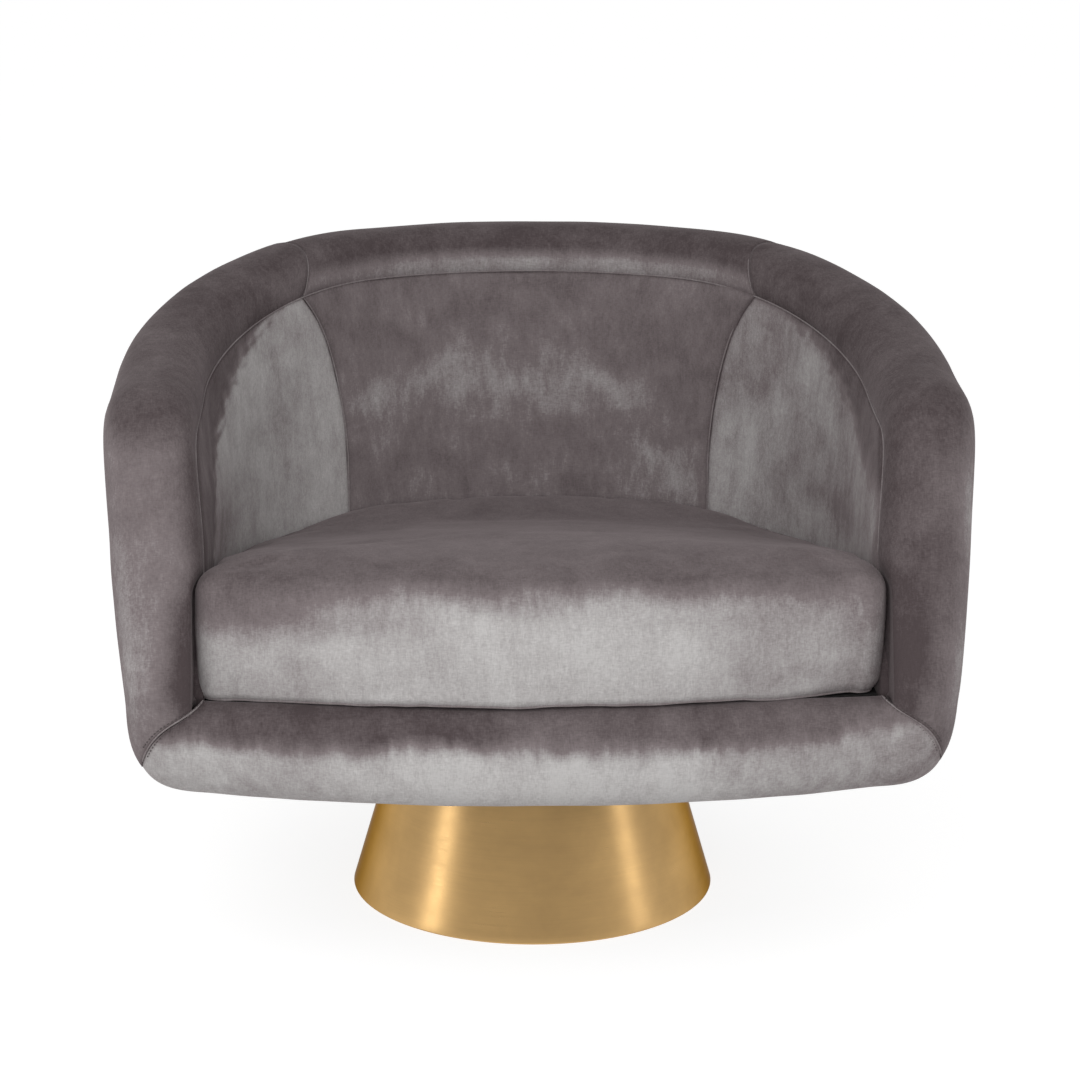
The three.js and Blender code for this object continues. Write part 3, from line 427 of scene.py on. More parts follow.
class Tub:
    """Surfaces of the tub, by the run along the rim from the back's middle, and the height."""

    def __init__(self, sizes):
        self.s = sizes
        self.outer_half = sizes.width / 2
        self.outer_reach = sizes.depth / 2 - sizes.curve_y
        self.inner_half_width = self.outer_half - sizes.wall
        self.inner_reach_top = self.outer_reach - sizes.wall
        self.quarter = math.pi / 4 * (self.inner_half_width + self.inner_reach_top)
        self.underside = sizes.rail_top - sizes.front_cover
        self.front_centre = sizes.front_rise - sizes.depth / 2
        self.arm_foot = self.front_centre + sizes.front_bow
        self.corner_half = float(self.inner_half(sizes.rail_top))
        lean = self.outer_lean(sizes.rail_top)
        self.foot_reach = float(self.outer_half - lean - self.inner_half(sizes.rail_top))
        peak = float(self.front_run(sizes.arm_seam))
        start = peak - sizes.corner
        end = sizes.arm_seam - sizes.corner * math.cos(sizes.arm_rake)
        self.corner_points = np.array(
            [
                [start, float(self.seam_height(start))],
                [peak, sizes.arm_seam],
                [float(self.front_run(end)), end],
            ]
        )

    def plan(self, run, height, half, reach):
        run, height, half, reach = np.broadcast_arrays(run, height, half, reach)
        turn = np.clip(run / self.quarter, -1, 1) * math.pi / 2
        straight = np.maximum(0, np.abs(run) - self.quarter)
        y = self.s.curve_y + reach * np.cos(turn) - straight
        return np.stack([half * np.sin(turn), y, height], axis=-1)

    def inner_half(self, height):
        rise = smooth(self.s.pinch_height, self.s.arm_seam, height)
        return self.inner_half_width - self.s.side_pinch * (1 - rise)

    def inner_reach(self, height):
        slope = math.tan(self.s.back_lean)
        return self.inner_reach_top - slope * np.maximum(0, self.s.back_seam - height)

    def inner(self, run, height, depth=0.0):
        half = self.inner_half(height) + depth
        return self.plan(run, height, half, self.inner_reach(height) + depth)

    def outer_lean(self, height):
        fall = np.maximum(0, self.s.lean_start - np.maximum(height, self.s.rail_top))
        reach = self.s.lean_start - self.underside
        extra = math.tan(self.s.lean_foot) - math.tan(self.s.lean_top)
        return math.tan(self.s.lean_top) * fall + extra * fall * fall / (2 * reach)

    def foot_inset(self, height):
        drop = np.clip((self.s.rail_top - height) / self.s.front_cover, 0, 1)
        power = self.s.foot_power
        return self.foot_reach * (1 - np.power(1 - np.power(drop, power), 1 / power))

    def outer(self, run, height, inset=0.0):
        drawn = self.outer_lean(height) + self.foot_inset(height) + inset
        return self.plan(run, height, self.outer_half - drawn, self.outer_reach - drawn)

    def wall(self, run, height, share):
        share = np.asarray(share)[..., None]
        return self.inner(run, height) * (1 - share) + self.outer(run, height) * share

    def front_y(self, height):
        rise = height - self.s.rail_top
        up = rise * math.tan(self.s.arm_rake)
        return self.arm_foot + np.where(rise > 0, up, -rise * math.tan(self.s.tuck))

    def front_run(self, height):
        return self.quarter + self.s.curve_y - self.front_y(height)

    def seam_height(self, run):
        fall = np.clip((np.abs(run) - self.s.rim_level) / self.s.rim_fall, 0, 1)
        return mix(self.s.arm_seam, self.s.back_seam, (1 + np.cos(math.pi * fall)) / 2)

    def rim_offset(self, run, offset):
        step = 1e-5
        rise = (self.seam_height(run + step) - self.seam_height(run - step)) / (2 * step)
        size = np.sqrt(1 + rise * rise)
        return run - rise / size * offset, self.seam_height(run) + offset / size

    def seam_line(self, stage, out=0.0):
        """Stage 0 to 1 is the rim, to 2 the top corner, to 3 the arm's front, to 4 the foot."""
        stage = np.asarray(stage, dtype=float)
        seam = self.s.roll_seam - out * self.s.roll_seam_lean
        run = mix(seam, self.corner_points[0, 0], np.clip(stage, 0, 1))
        height = self.seam_height(run)
        t = np.clip(stage - 1, 0, 1)[..., None]
        first, peak, last = self.corner_points
        curve = first * (1 - t) ** 2 + peak * 2 * t * (1 - t) + last * t**2
        low = np.where(
            stage <= 3,
            mix(last[1], self.s.rail_top, np.clip(stage - 2, 0, 1)),
            mix(self.s.rail_top, self.underside, np.clip(stage - 3, 0, 1)),
        )
        run = np.where(stage <= 1, run, np.where(stage <= 2, curve[..., 0], self.front_run(low)))
        height = np.where(stage <= 1, height, np.where(stage <= 2, curve[..., 1], low))
        return run, height

    def seam_offset(self, stage, offset, out=0.0):
        step = 1e-4
        stage = np.asarray(stage, dtype=float)
        before = self.seam_line(np.maximum(0, stage - step), out)
        after = self.seam_line(stage + step, out)
        along = np.stack([after[0] - before[0], after[1] - before[1]])
        along /= np.linalg.norm(along, axis=0)
        run, height = self.seam_line(stage, out)
        return run - along[1] * offset, height + along[0] * offset

    def rail_back(self, x, height):
        middle = 1 - np.clip(x / self.corner_half, -1, 1) ** 2
        return mix(self.front_y(height), self.front_centre, middle)

    def deck_top(self, y):
        return self.s.rail_top - 0.0005 - (y - self.front_centre) * math.tan(self.s.deck_pitch)

    def section(self, turn):
        """Shares across and out of the roll's section, by the turn from its inner seam."""
        power = 2 / self.s.roll_power
        across = (1 - np.sign(np.cos(turn)) * np.abs(np.cos(turn)) ** power) / 2
        return across, np.abs(np.sin(turn)) ** power

    def rim_seam(self, surface):
        """The roll's seam on the inside or the outside, round the whole rim."""
        run, height = self.seam_line(np.linspace(0, 3, 260))
        back = np.linspace(-self.s.roll_seam, self.s.roll_seam, 120)[1:-1]
        left, right = surface(-run, height, SEAM_SINK), surface(run, height, SEAM_SINK)
        middle = surface(back, self.seam_height(back), SEAM_SINK)
        return np.concatenate([left[::-1], middle, right])

    def rim_stage(self, gap):
        """Stage of the point on the rim that lies a gap outside the seam across the roll."""
        return gap / (self.corner_points[0, 0] - self.s.roll_seam)

    def rim_edge(self, columns, gap):
        """Runs and heights just under the roll, from the seam across it to the top corner."""
        stage = mix(self.rim_stage(gap), 1, columns)
        return np.stack(self.seam_offset(stage, -RIM_GAP), axis=-1)

    def arm_edge(self, rows, foot):
        """Runs and heights just inside the roll, from a stage at the foot to the top corner."""
        up, turn = rows / STRAIGHT_SHARE, (rows - STRAIGHT_SHARE) / (1 - STRAIGHT_SHARE)
        stage = np.where(rows < STRAIGHT_SHARE, mix(foot, 2, up), mix(2, 1, turn))
        return np.stack(self.seam_offset(stage, -RIM_GAP), axis=-1)

    def panel_run(self, share):
        """Run of the seam between the inside panels, by its share of the height."""
        return mix(self.s.inside_seam, self.s.roll_seam, share**self.s.inside_seam_power)

    def deck_edge(self, run):
        return self.deck_top(self.inner(run, self.s.rail_top)[..., 1])

    def panel_seam(self, side):
        """The seam between the inside panels."""
        level = np.linspace(0, 1, 60)
        run = self.panel_run(level)
        height = mix(self.deck_edge(run), self.seam_height(run), level)
        return self.inner(side * run, height, 0.0010)

    def mitre_seam(self, side):
        """The seam from the cushion's corner down to the foot, where an arm meets the rail."""
        across, out = self.section(np.linspace(0, math.pi, 60))
        return self.corner_section(side, self.s.mitre, across[3:-12], out[3:-12] * CROSS_SEAM)

    def corner_section(self, side, swing, across, out, slack=0.0):
        """Section of the roll round the lower corner, from the arm's front to the rail."""
        power = self.s.foot_power
        mitre, square = self.s.mitre, math.pi / 2
        near = np.where(swing < mitre, swing / mitre, (square - swing) / (square - mitre))
        swing = swing - self.s.mitre_bow * near * np.sin(math.pi * np.clip(across, 0, 1))
        wide = (np.cos(swing) / self.foot_reach) ** power
        down = (np.sin(swing) / self.s.front_cover) ** power
        reach = (wide + down) ** (-1 / power) * across
        height = self.s.rail_top - reach * np.sin(swing)
        x = self.corner_half + reach * np.cos(swing)
        share = swing / (math.pi / 2)
        y_way = mix(-math.cos(self.s.arm_rake), -1, share)
        z_way = mix(math.sin(self.s.arm_rake), 0, share)
        size = np.sqrt(y_way**2 + z_way**2)
        rise = out * mix(self.s.roll_rise, self.s.front_rise, share)
        y = self.front_y(height) + rise * y_way / size
        z = height - slack + rise * z_way / size
        x = side * (x - slack) * np.ones_like(y)
        return np.stack(np.broadcast_arrays(x, y, z), axis=-1)


def lip_section(tub, steps):
    """The roll's section with its two lips that go down into the seams."""
    tuck, fade = 0.020, 0.10
    lip_across, lip_out = (0.94, 0.5, 0.06), (-0.07, -0.10, -0.07)
    across, out = tub.section(np.linspace(0, math.pi, steps))
    pull = tuck * np.exp(-out / fade)
    across = across + np.where(across < 0.5, pull, -pull)
    return np.concatenate([across, lip_across]), np.concatenate([out, lip_out])


def shrink_ends(stations, amount=0.022, reach=0.006):
    """Draws the end sections in towards their middles, as where a seam crosses the roll."""
    middle = stations.mean(axis=1)
    way = np.concatenate([[0], np.cumsum(np.linalg.norm(np.diff(middle, axis=0), axis=1))])
    pull = amount * np.exp(-np.minimum(way, way[-1] - way) / reach)
    return stations + (middle[:, None] - stations) * pull[:, None, None]


def pucker(thing, size, amount, seed):
    """Presses soft unevenness into a piece along its normals."""
    places, normals = vertex_data(thing)
    push = wave_noise(places, size, seed) * amount
    push += wave_noise(places, size * 0.35, seed + 1) * amount * 0.25
    move_points(thing, places + normals * push[:, None])


def filled(low, high, near, far, columns, rows):
    """A grid between four edges: low and high run along its columns, near and far up its rows."""
    a, b = columns[None, :, None], rows[:, None, None]
    edges = low[None] * (1 - b) + high[None] * b + near[:, None] * (1 - a) + far[:, None] * a
    low_corners = low[0] * (1 - a) + low[-1] * a
    high_corners = high[0] * (1 - a) + high[-1] * a
    return edges - low_corners * (1 - b) - high_corners * b


# Materials


class Nodes:
    """Short calls for adding and linking shader nodes."""

    def __init__(self, tree):
        self.tree = tree
        self.place = 0

    def add(self, kind, **values):
        node = self.tree.nodes.new(kind)
        spacing = 180
        node.location = (self.place * spacing, 0)
        self.place += 1
        for name, value in values.items():
            setattr(node, name, value)
        return node

    def link(self, source, target):
        self.tree.links.new(source, target)

    def maths(self, operation, first, second=None, clamp=False):
        node = self.add("ShaderNodeMath", operation=operation, use_clamp=clamp)
        for slot_index, value in enumerate((first, second)):
            if value is None:
                continue
            if isinstance(value, (int, float)):
                node.inputs[slot_index].default_value = value
            else:
                self.link(value, node.inputs[slot_index])
        return node.outputs[0]

    def noise(self, vector, stretch, detail=3.0, rough=0.55, distort=0.0):
        mapping = self.add("ShaderNodeMapping")
        mapping.inputs["Scale"].default_value = stretch
        self.link(vector, mapping.inputs["Vector"])
        node = self.add("ShaderNodeTexNoise")
        node.inputs["Scale"].default_value = 1.0
        node.inputs["Detail"].default_value = detail
        node.inputs["Roughness"].default_value = rough
        node.inputs["Distortion"].default_value = distort
        self.link(mapping.outputs[0], node.inputs["Vector"])
        return node.outputs["Fac"]

    def blend(self, share, first, second):
        node = self.add("ShaderNodeMix", data_type="RGBA")
        for index, value in ((MIX_SHARE, share), (MIX_FIRST, first), (MIX_SECOND, second)):
            if isinstance(value, (int, float, tuple, list)):
                node.inputs[index].default_value = value
            else:
                self.link(value, node.inputs[index])
        return node.outputs[2]

    def times(self, tone, dim):
        """A colour multiplied by a number."""
        node = self.add("ShaderNodeMix", data_type="RGBA", blend_type="MULTIPLY")
        node.inputs[MIX_SHARE].default_value = 1.0
        self.link(tone, node.inputs[MIX_FIRST])
        self.link(dim, node.inputs[MIX_SECOND])
        return node.outputs[2]

    def span(self, value, low, high, to_low=0.0, to_high=1.0):
        node = self.add("ShaderNodeMapRange")
        limits = {"From Min": low, "From Max": high, "To Min": to_low, "To Max": to_high}
        for name, limit in limits.items():
            node.inputs[name].default_value = limit
        self.link(value, node.inputs["Value"])
        return node.outputs["Result"]


def new_group(name, given):
    """A shader group with given inputs, which puts out a colour, a roughness and a height."""
    group = bpy.data.node_groups.new(name, "ShaderNodeTree")
    for key, default in given.items():
        kind = "NodeSocketColor" if isinstance(default, tuple) else "NodeSocketFloat"
        made = group.interface.new_socket(name=key, in_out="INPUT", socket_type=kind)
        made.default_value = (*default, 1) if isinstance(default, tuple) else default
    for key, kind in (("Color", "Color"), ("Roughness", "Float"), ("Height", "Float")):
        group.interface.new_socket(name=key, in_out="OUTPUT", socket_type=f"NodeSocket{kind}")
    n = Nodes(group)
    where = n.add("ShaderNodeTexCoord").outputs["Object"]
    return group, n, where, n.add("NodeGroupInput").outputs, n.add("NodeGroupOutput").inputs


def velvet_group():
    """Crushed velvet: nap blotches, brushed streaks and a fine woven ground, over dark, middle and
    light tones mixed by the piece's painted light and shade.
    """
    tones = {"Dark": (0.09, 0.07, 0.07), "Middle": (0.19, 0.16, 0.16), "Light": (0.41, 0.40, 0.40)}
    inputs = {"Nap_and_painted_light": 0.3, **tones, "Mottle": 1.0}
    group, n, where, given, result = new_group("Crushed velvet", inputs)
    blotch = n.noise(where, (12, 12, 13), 4.0, 0.65, 0.5)
    brushed = n.noise(where, (70, 70, 16), 3.0, 0.6, 0.6)
    crushed = n.noise(where, (300, 300, 240), 3.0, 0.7)
    warp_threads = n.noise(where, (640, 150, 150), 2.0, 0.6)
    weft_threads = n.noise(where, (150, 640, 640), 2.0, 0.6)
    ground = n.maths("MULTIPLY", n.maths("ADD", warp_threads, weft_threads), 0.5)
    uneven = n.maths("MULTIPLY", n.maths("SUBTRACT", blotch, 0.5), 0.52)
    for layer, amount in ((brushed, 0.22), (crushed, 0.22), (ground, 0.32)):
        share = n.maths("MULTIPLY", n.maths("SUBTRACT", layer, 0.5), amount)
        uneven = n.maths("ADD", uneven, share)
    nap_and_painted_light = n.maths("ADD", given["Nap_and_painted_light"], n.maths("MULTIPLY", uneven, given["Mottle"]), clamp=True)
    lower = n.maths("MULTIPLY", nap_and_painted_light, 2.0, clamp=True)
    upper = n.maths("SUBTRACT", n.maths("MULTIPLY", nap_and_painted_light, 2.0), 1.0, clamp=True)
    tone = n.blend(upper, n.blend(lower, given["Dark"], given["Middle"]), given["Light"])
    n.link(n.times(tone, n.span(ground, 0.3, 0.7, 0.90, 1.10)), result["Color"])
    n.link(n.span(nap_and_painted_light, 0, 1, 0.92, 0.72), result["Roughness"])
    rise = n.maths("ADD", n.maths("MULTIPLY", crushed, 0.7), n.maths("MULTIPLY", ground, 0.6))
    n.link(rise, result["Height"])
    return group


def weave_group():
    """A plain weave of two crossing threads."""
    inputs = {"Thread": (0.3, 0.3, 0.3), "Gap": (0.1, 0.1, 0.1), "Threads": 500.0}
    group, n, where, given, result = new_group("Plain weave", inputs)
    parts = n.add("ShaderNodeSeparateXYZ")
    n.link(where, parts.inputs[0])
    turns = [n.maths("MULTIPLY", parts.outputs[axis], given["Threads"]) for axis in (0, 1)]
    lump = n.maths("MULTIPLY", *(n.maths("ABSOLUTE", n.maths("SINE", turn)) for turn in turns))
    wear = n.noise(where, (30, 30, 30), 4.0, 0.6)
    share = n.maths("MULTIPLY", lump, n.span(wear, 0.3, 0.7, 0.7, 1.0), clamp=True)
    n.link(n.blend(share, given["Gap"], given["Thread"]), result["Color"])
    n.link(n.span(wear, 0.3, 0.7, 0.8, 0.95), result["Roughness"])
    n.link(lump, result["Height"])
    return group


def brushed_group():
    """Brushed metal: fine level lines and faint stains."""
    inputs = {"Metal": (0.6, 0.4, 0.2), "Stain": (0.5, 0.3, 0.15), "Base roughness": 0.3}
    group, n, where, given, result = new_group("Brushed metal", inputs)
    lines = n.noise(where, (9, 9, 900), 3.0, 0.7)
    stains = n.noise(where, (11, 11, 14), 4.0, 0.6, 0.3)
    tone = n.blend(n.span(stains, 0.35, 0.70), given["Metal"], given["Stain"])
    n.link(n.times(tone, n.span(lines, 0.3, 0.7, 0.97, 1.03)), result["Color"])
    rough = n.maths("ADD", given["Base roughness"], n.span(lines, 0.3, 0.7, -0.03, 0.03))
    rough = n.maths("ADD", rough, n.span(stains, 0.3, 0.7, -0.02, 0.03))
    n.link(rough, result["Roughness"])
    n.link(lines, result["Height"])
    return group


def grain_group():
    """Wood grain with darker streaks along the piece."""
    inputs = {"Wood": (0.5, 0.3, 0.15), "Streak": (0.3, 0.18, 0.08), "Strength": 1.0}
    group, n, where, given, result = new_group("Wood grain", inputs)
    grain = n.noise(where, (8, 70, 70), 5.0, 0.6, 1.2)
    pores = n.noise(where, (60, 700, 700), 2.0, 0.6)
    share = n.maths("MULTIPLY", n.span(grain, 0.4, 0.65), given["Strength"], clamp=True)
    n.link(n.blend(share, given["Wood"], given["Streak"]), result["Color"])
    n.link(n.span(pores, 0.3, 0.7, 0.6, 0.8), result["Roughness"])
    n.link(n.maths("ADD", grain, n.maths("MULTIPLY", pores, 0.4)), result["Height"])
    return group


def shaded(name, group, values, bump, numbers=None):
    """A material from a shader group, with its plain numbers set on the shader itself."""
    material = bpy.data.materials.new(name)
    material.use_nodes = True
    n = Nodes(material.node_tree)
    shader = material.node_tree.nodes["Principled BSDF"]
    effect = n.add("ShaderNodeGroup", node_tree=group)
    for key, value in values.items():
        effect.inputs[key].default_value = (*value, 1) if isinstance(value, tuple) else value
    n.link(effect.outputs["Color"], shader.inputs["Base Color"])
    n.link(effect.outputs["Roughness"], shader.inputs["Roughness"])
    lift = n.add("ShaderNodeBump")
    lift.inputs["Strength"].default_value, lift.inputs["Distance"].default_value = bump
    n.link(effect.outputs["Height"], lift.inputs["Height"])
    n.link(lift.outputs[0], shader.inputs["Normal"])
    for key, value in (numbers or {}).items():
        shader.inputs[key].default_value = value
    return material, n, effect


def make_materials(colours):
    """The materials, by the names of their slots."""
    velvet, weave, brushed, grain = velvet_group(), weave_group(), brushed_group(), grain_group()
    tones = {
        "Dark": tuple(colours.dark),
        "Middle": tuple(colours.middle),
        "Light": tuple(colours.light),
    }
    pile = {
        "Specular IOR Level": 0.08,
        "Sheen Weight": 0.18,
        "Sheen Roughness": 0.4,
        "Sheen Tint": (0.80, 0.70, 0.71, 1),
    }
    metal = {"Metallic": 1.0}
    thread, brass = tuple(colours.thread), tuple(colours.brass)
    rows = {
        # The raised seams take one fixed tone of the velvet, lighter than the dark tops, as a
        # painted sheen along their ridges.
        "seam": ("seam velvet", velvet, {**tones, "Nap_and_painted_light": 0.54, "Mottle": 0.5}, (0.3, 0.0006), pile),
        "thread": (
            "stitching thread",
            weave,
            {"Thread": thread, "Gap": tuple(0.55 * c for c in thread), "Threads": 2600.0},
            (0.3, 0.0002),
            {"Specular IOR Level": 0.3},
        ),
        "brushed_brass": (
            "brushed brass",
            brushed,
            {"Metal": brass, "Stain": (0.54, 0.345, 0.15), "Base roughness": 0.31},
            (0.04, 0.0004),
            {**metal, "Specular Tint": (0.30, 0.23, 0.17, 1)},
        ),
        "steel": (
            "zinc plated steel",
            brushed,
            {"Metal": (0.55, 0.56, 0.58), "Stain": (0.46, 0.47, 0.44), "Base roughness": 0.34},
            (0.1, 0.0004),
            metal,
        ),
        "dark_steel": (
            "black painted steel",
            brushed,
            {"Metal": (0.035, 0.035, 0.038), "Stain": (0.055, 0.052, 0.050), "Base roughness": 0.5},
            (0.15, 0.0004),
        ),
        "plywood": (
            "plywood",
            grain,
            {"Wood": (0.60, 0.43, 0.24), "Streak": (0.45, 0.29, 0.14), "Strength": 0.8},
            (0.25, 0.0005),
        ),
        "timber": (
            "softwood",
            grain,
            {"Wood": (0.55, 0.37, 0.19), "Streak": (0.36, 0.20, 0.09), "Strength": 1.0},
            (0.25, 0.0005),
        ),
        "webbing": (
            "black cloth",
            weave,
            {"Thread": (0.040, 0.038, 0.038), "Gap": (0.012, 0.011, 0.011), "Threads": 1800.0},
            (0.4, 0.0006),
        ),
        "glide_felt": (
            "felt",
            weave,
            {"Thread": (0.060, 0.052, 0.048), "Gap": (0.030, 0.026, 0.024), "Threads": 900.0},
            (0.5, 0.0008),
        ),
    }
    crushed, n, effect = shaded("crushed velvet", velvet, tones, (0.35, 0.0012), pile)
    # This attribute brings each piece's painted light and shade, together with its own mottling,
    # into the velvet's tones.
    nap_and_painted_light = n.add("ShaderNodeAttribute", attribute_name="nap_and_painted_light")
    n.link(nap_and_painted_light.outputs["Fac"], effect.inputs["Nap_and_painted_light"])
    return {"velvet": crushed, **{slot: shaded(*row)[0] for slot, row in rows.items()}}


def give(thing, material):
    thing.data.materials.clear()
    thing.data.materials.append(bpy.data.materials[material])


def finish_piece(thing, body, material, nodes=()):
    give(thing, material)
    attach(thing, body)
    if nodes:
        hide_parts(*nodes)


def finish_velvet(thing, nap_and_painted_light, node, body="tub"):
    """Sets a padded piece's attribute of mottled nap together with its painted light and shade,
    with its patches added, and lets it stand for its node.
    """
    places, _ = vertex_data(thing)
    nap_and_painted_light = np.clip(nap_and_painted_light + nap_light_and_shade_patches(places, node), 0, 1)
    layer = thing.data.attributes.new("nap_and_painted_light", "FLOAT", "POINT")
    layer.data.foreach_set("value", nap_and_painted_light.astype(np.float32))
    finish_piece(thing, body, "crushed velvet", [node])


# Operators: one for each piece or group of like pieces


class ARMCHAIR_OT_finishes(bpy.types.Operator):
    """Makes the velvet, metals, woods and cloths, and finishes the frame's own pieces"""

    bl_idname = "armchair.finishes"
    bl_label = "Finishes"

    def execute(self, context):
        made = make_materials(context.scene.armchair_colours)
        slots = {row["node"]: row["material_slot"] for row in frame["record"]["subparts"]}
        for name, node in frame["nodes"].items():
            give(node, made[slots[name]].name)
        return {"FINISHED"}


class ARMCHAIR_OT_rolls(bpy.types.Operator):
    """Padded roll round the rim and down the arms' fronts"""

    bl_idname = "armchair.rolls"
    bl_label = "Rolls"

    def execute(self, context):
        tub = Tub(context.scene.armchair_sizes)
        self.back_roll(tub)
        for side, name in SIDES:
            self.side_roll(tub, side, name)
        return {"FINISHED"}

    def back_roll(self, tub):
        across, out = lip_section(tub, 30)
        share = np.linspace(-1, 1, 110)[:, None]
        half = tub.s.roll_seam - np.clip(out, 0, 1)[None] * tub.s.roll_seam_lean - SEAM_GAP
        run, height = tub.rim_offset(share * half, out[None] * tub.s.roll_rise)
        stations = tub.wall(run, height, np.broadcast_to(across, run.shape))
        thing = swept("roll_back_padded", shrink_ends(stations))
        pucker(thing, 0.22, 0.0006, 11)
        places, normals = vertex_data(thing)
        # Painted light and shade by the way the roll faces: a light strip where it faces forward
        # and down, a little lighter where it faces back, dark on top, and a duller strip towards
        # its ends.
        front = smooth(0.2, 0.8, -normals[:, 1])
        ends = 1 - 0.25 * smooth(0.14, 0.26, np.abs(places[:, 0]))
        nap_and_painted_light = 0.08 + 0.56 * ends * front * smooth(0.50, 0.10, normals[:, 2])
        nap_and_painted_light += 0.16 * smooth(0.2, 0.8, normals[:, 1])
        finish_velvet(thing, nap_and_painted_light, "roll_back")

    def side_roll(self, tub, side, name):
        across, out = lip_section(tub, 30)
        rim = np.linspace(tub.rim_stage(SEAM_GAP), 1, 80)
        stages = np.concatenate([rim, np.linspace(1, 2, 16)[1:], np.linspace(2, 3, 44)[1:]])
        stages = np.broadcast_to(stages[:, None], (len(stages), len(out)))
        lean = np.clip(out, 0, 1)[None]
        run, height = tub.seam_offset(stages, out[None] * tub.s.roll_rise, lean)
        arm = tub.wall(side * run, height, np.broadcast_to(across, run.shape))
        swing = np.linspace(0, tub.s.mitre, 18)[1:, None]
        low = tub.corner_section(side, swing, across[None], out[None])
        stations = relax(np.concatenate([arm, low]), 5)
        thing = swept(f"roll_{name}_padded", shrink_ends(stations))
        pucker(thing, 0.22, 0.0007, 21 + side)
        self.make_room(thing, CushionForm(tub, bpy.context.scene.armchair_cushion), side)
        places, normals = vertex_data(thing)
        # Painted light by the way the roll faces: lighter where its steep faces turn forward and
        # outward, which paints the sheen of its outer edges.
        forward = smooth(0.3, 0.95, -normals[:, 1])
        outward = smooth(0.35, 0.95, side * normals[:, 0])
        steep = smooth(0.75, 0.25, normals[:, 2])
        nap_and_painted_light = 0.09 + ((0.30 if side < 0 else 0.06) * forward + 0.30 * outward) * steep
        # Painted shadow of the cushion on the roll's inner face beside it.
        nap_and_painted_light -= 0.40 * smooth(0.52, 0.46, places[:, 2]) * smooth(-0.2, 0.5, -side * normals[:, 0])
        # Painted shade in the mitre seam's valley.
        nap_and_painted_light -= 0.20 * painted_seam_shade(places, tub.mitre_seam(side))
        finish_velvet(thing, nap_and_painted_light, f"roll_{name}")

    def make_room(self, thing, form, side):
        """The cushion's swollen front corner presses the arm's roll aside."""
        room = 0.0006 if side < 0 else 0.0030
        places, _ = vertex_data(thing)
        x, y, z = places.T
        over_rail, under_top = smooth(0.350, 0.366, z), smooth(0.510, 0.480, z)
        pressed = mix(side * x, form.limit(x, y, z) + room, over_rail * under_top)
        places[:, 0] = side * np.maximum(side * x, pressed)
        move_points(thing, places)


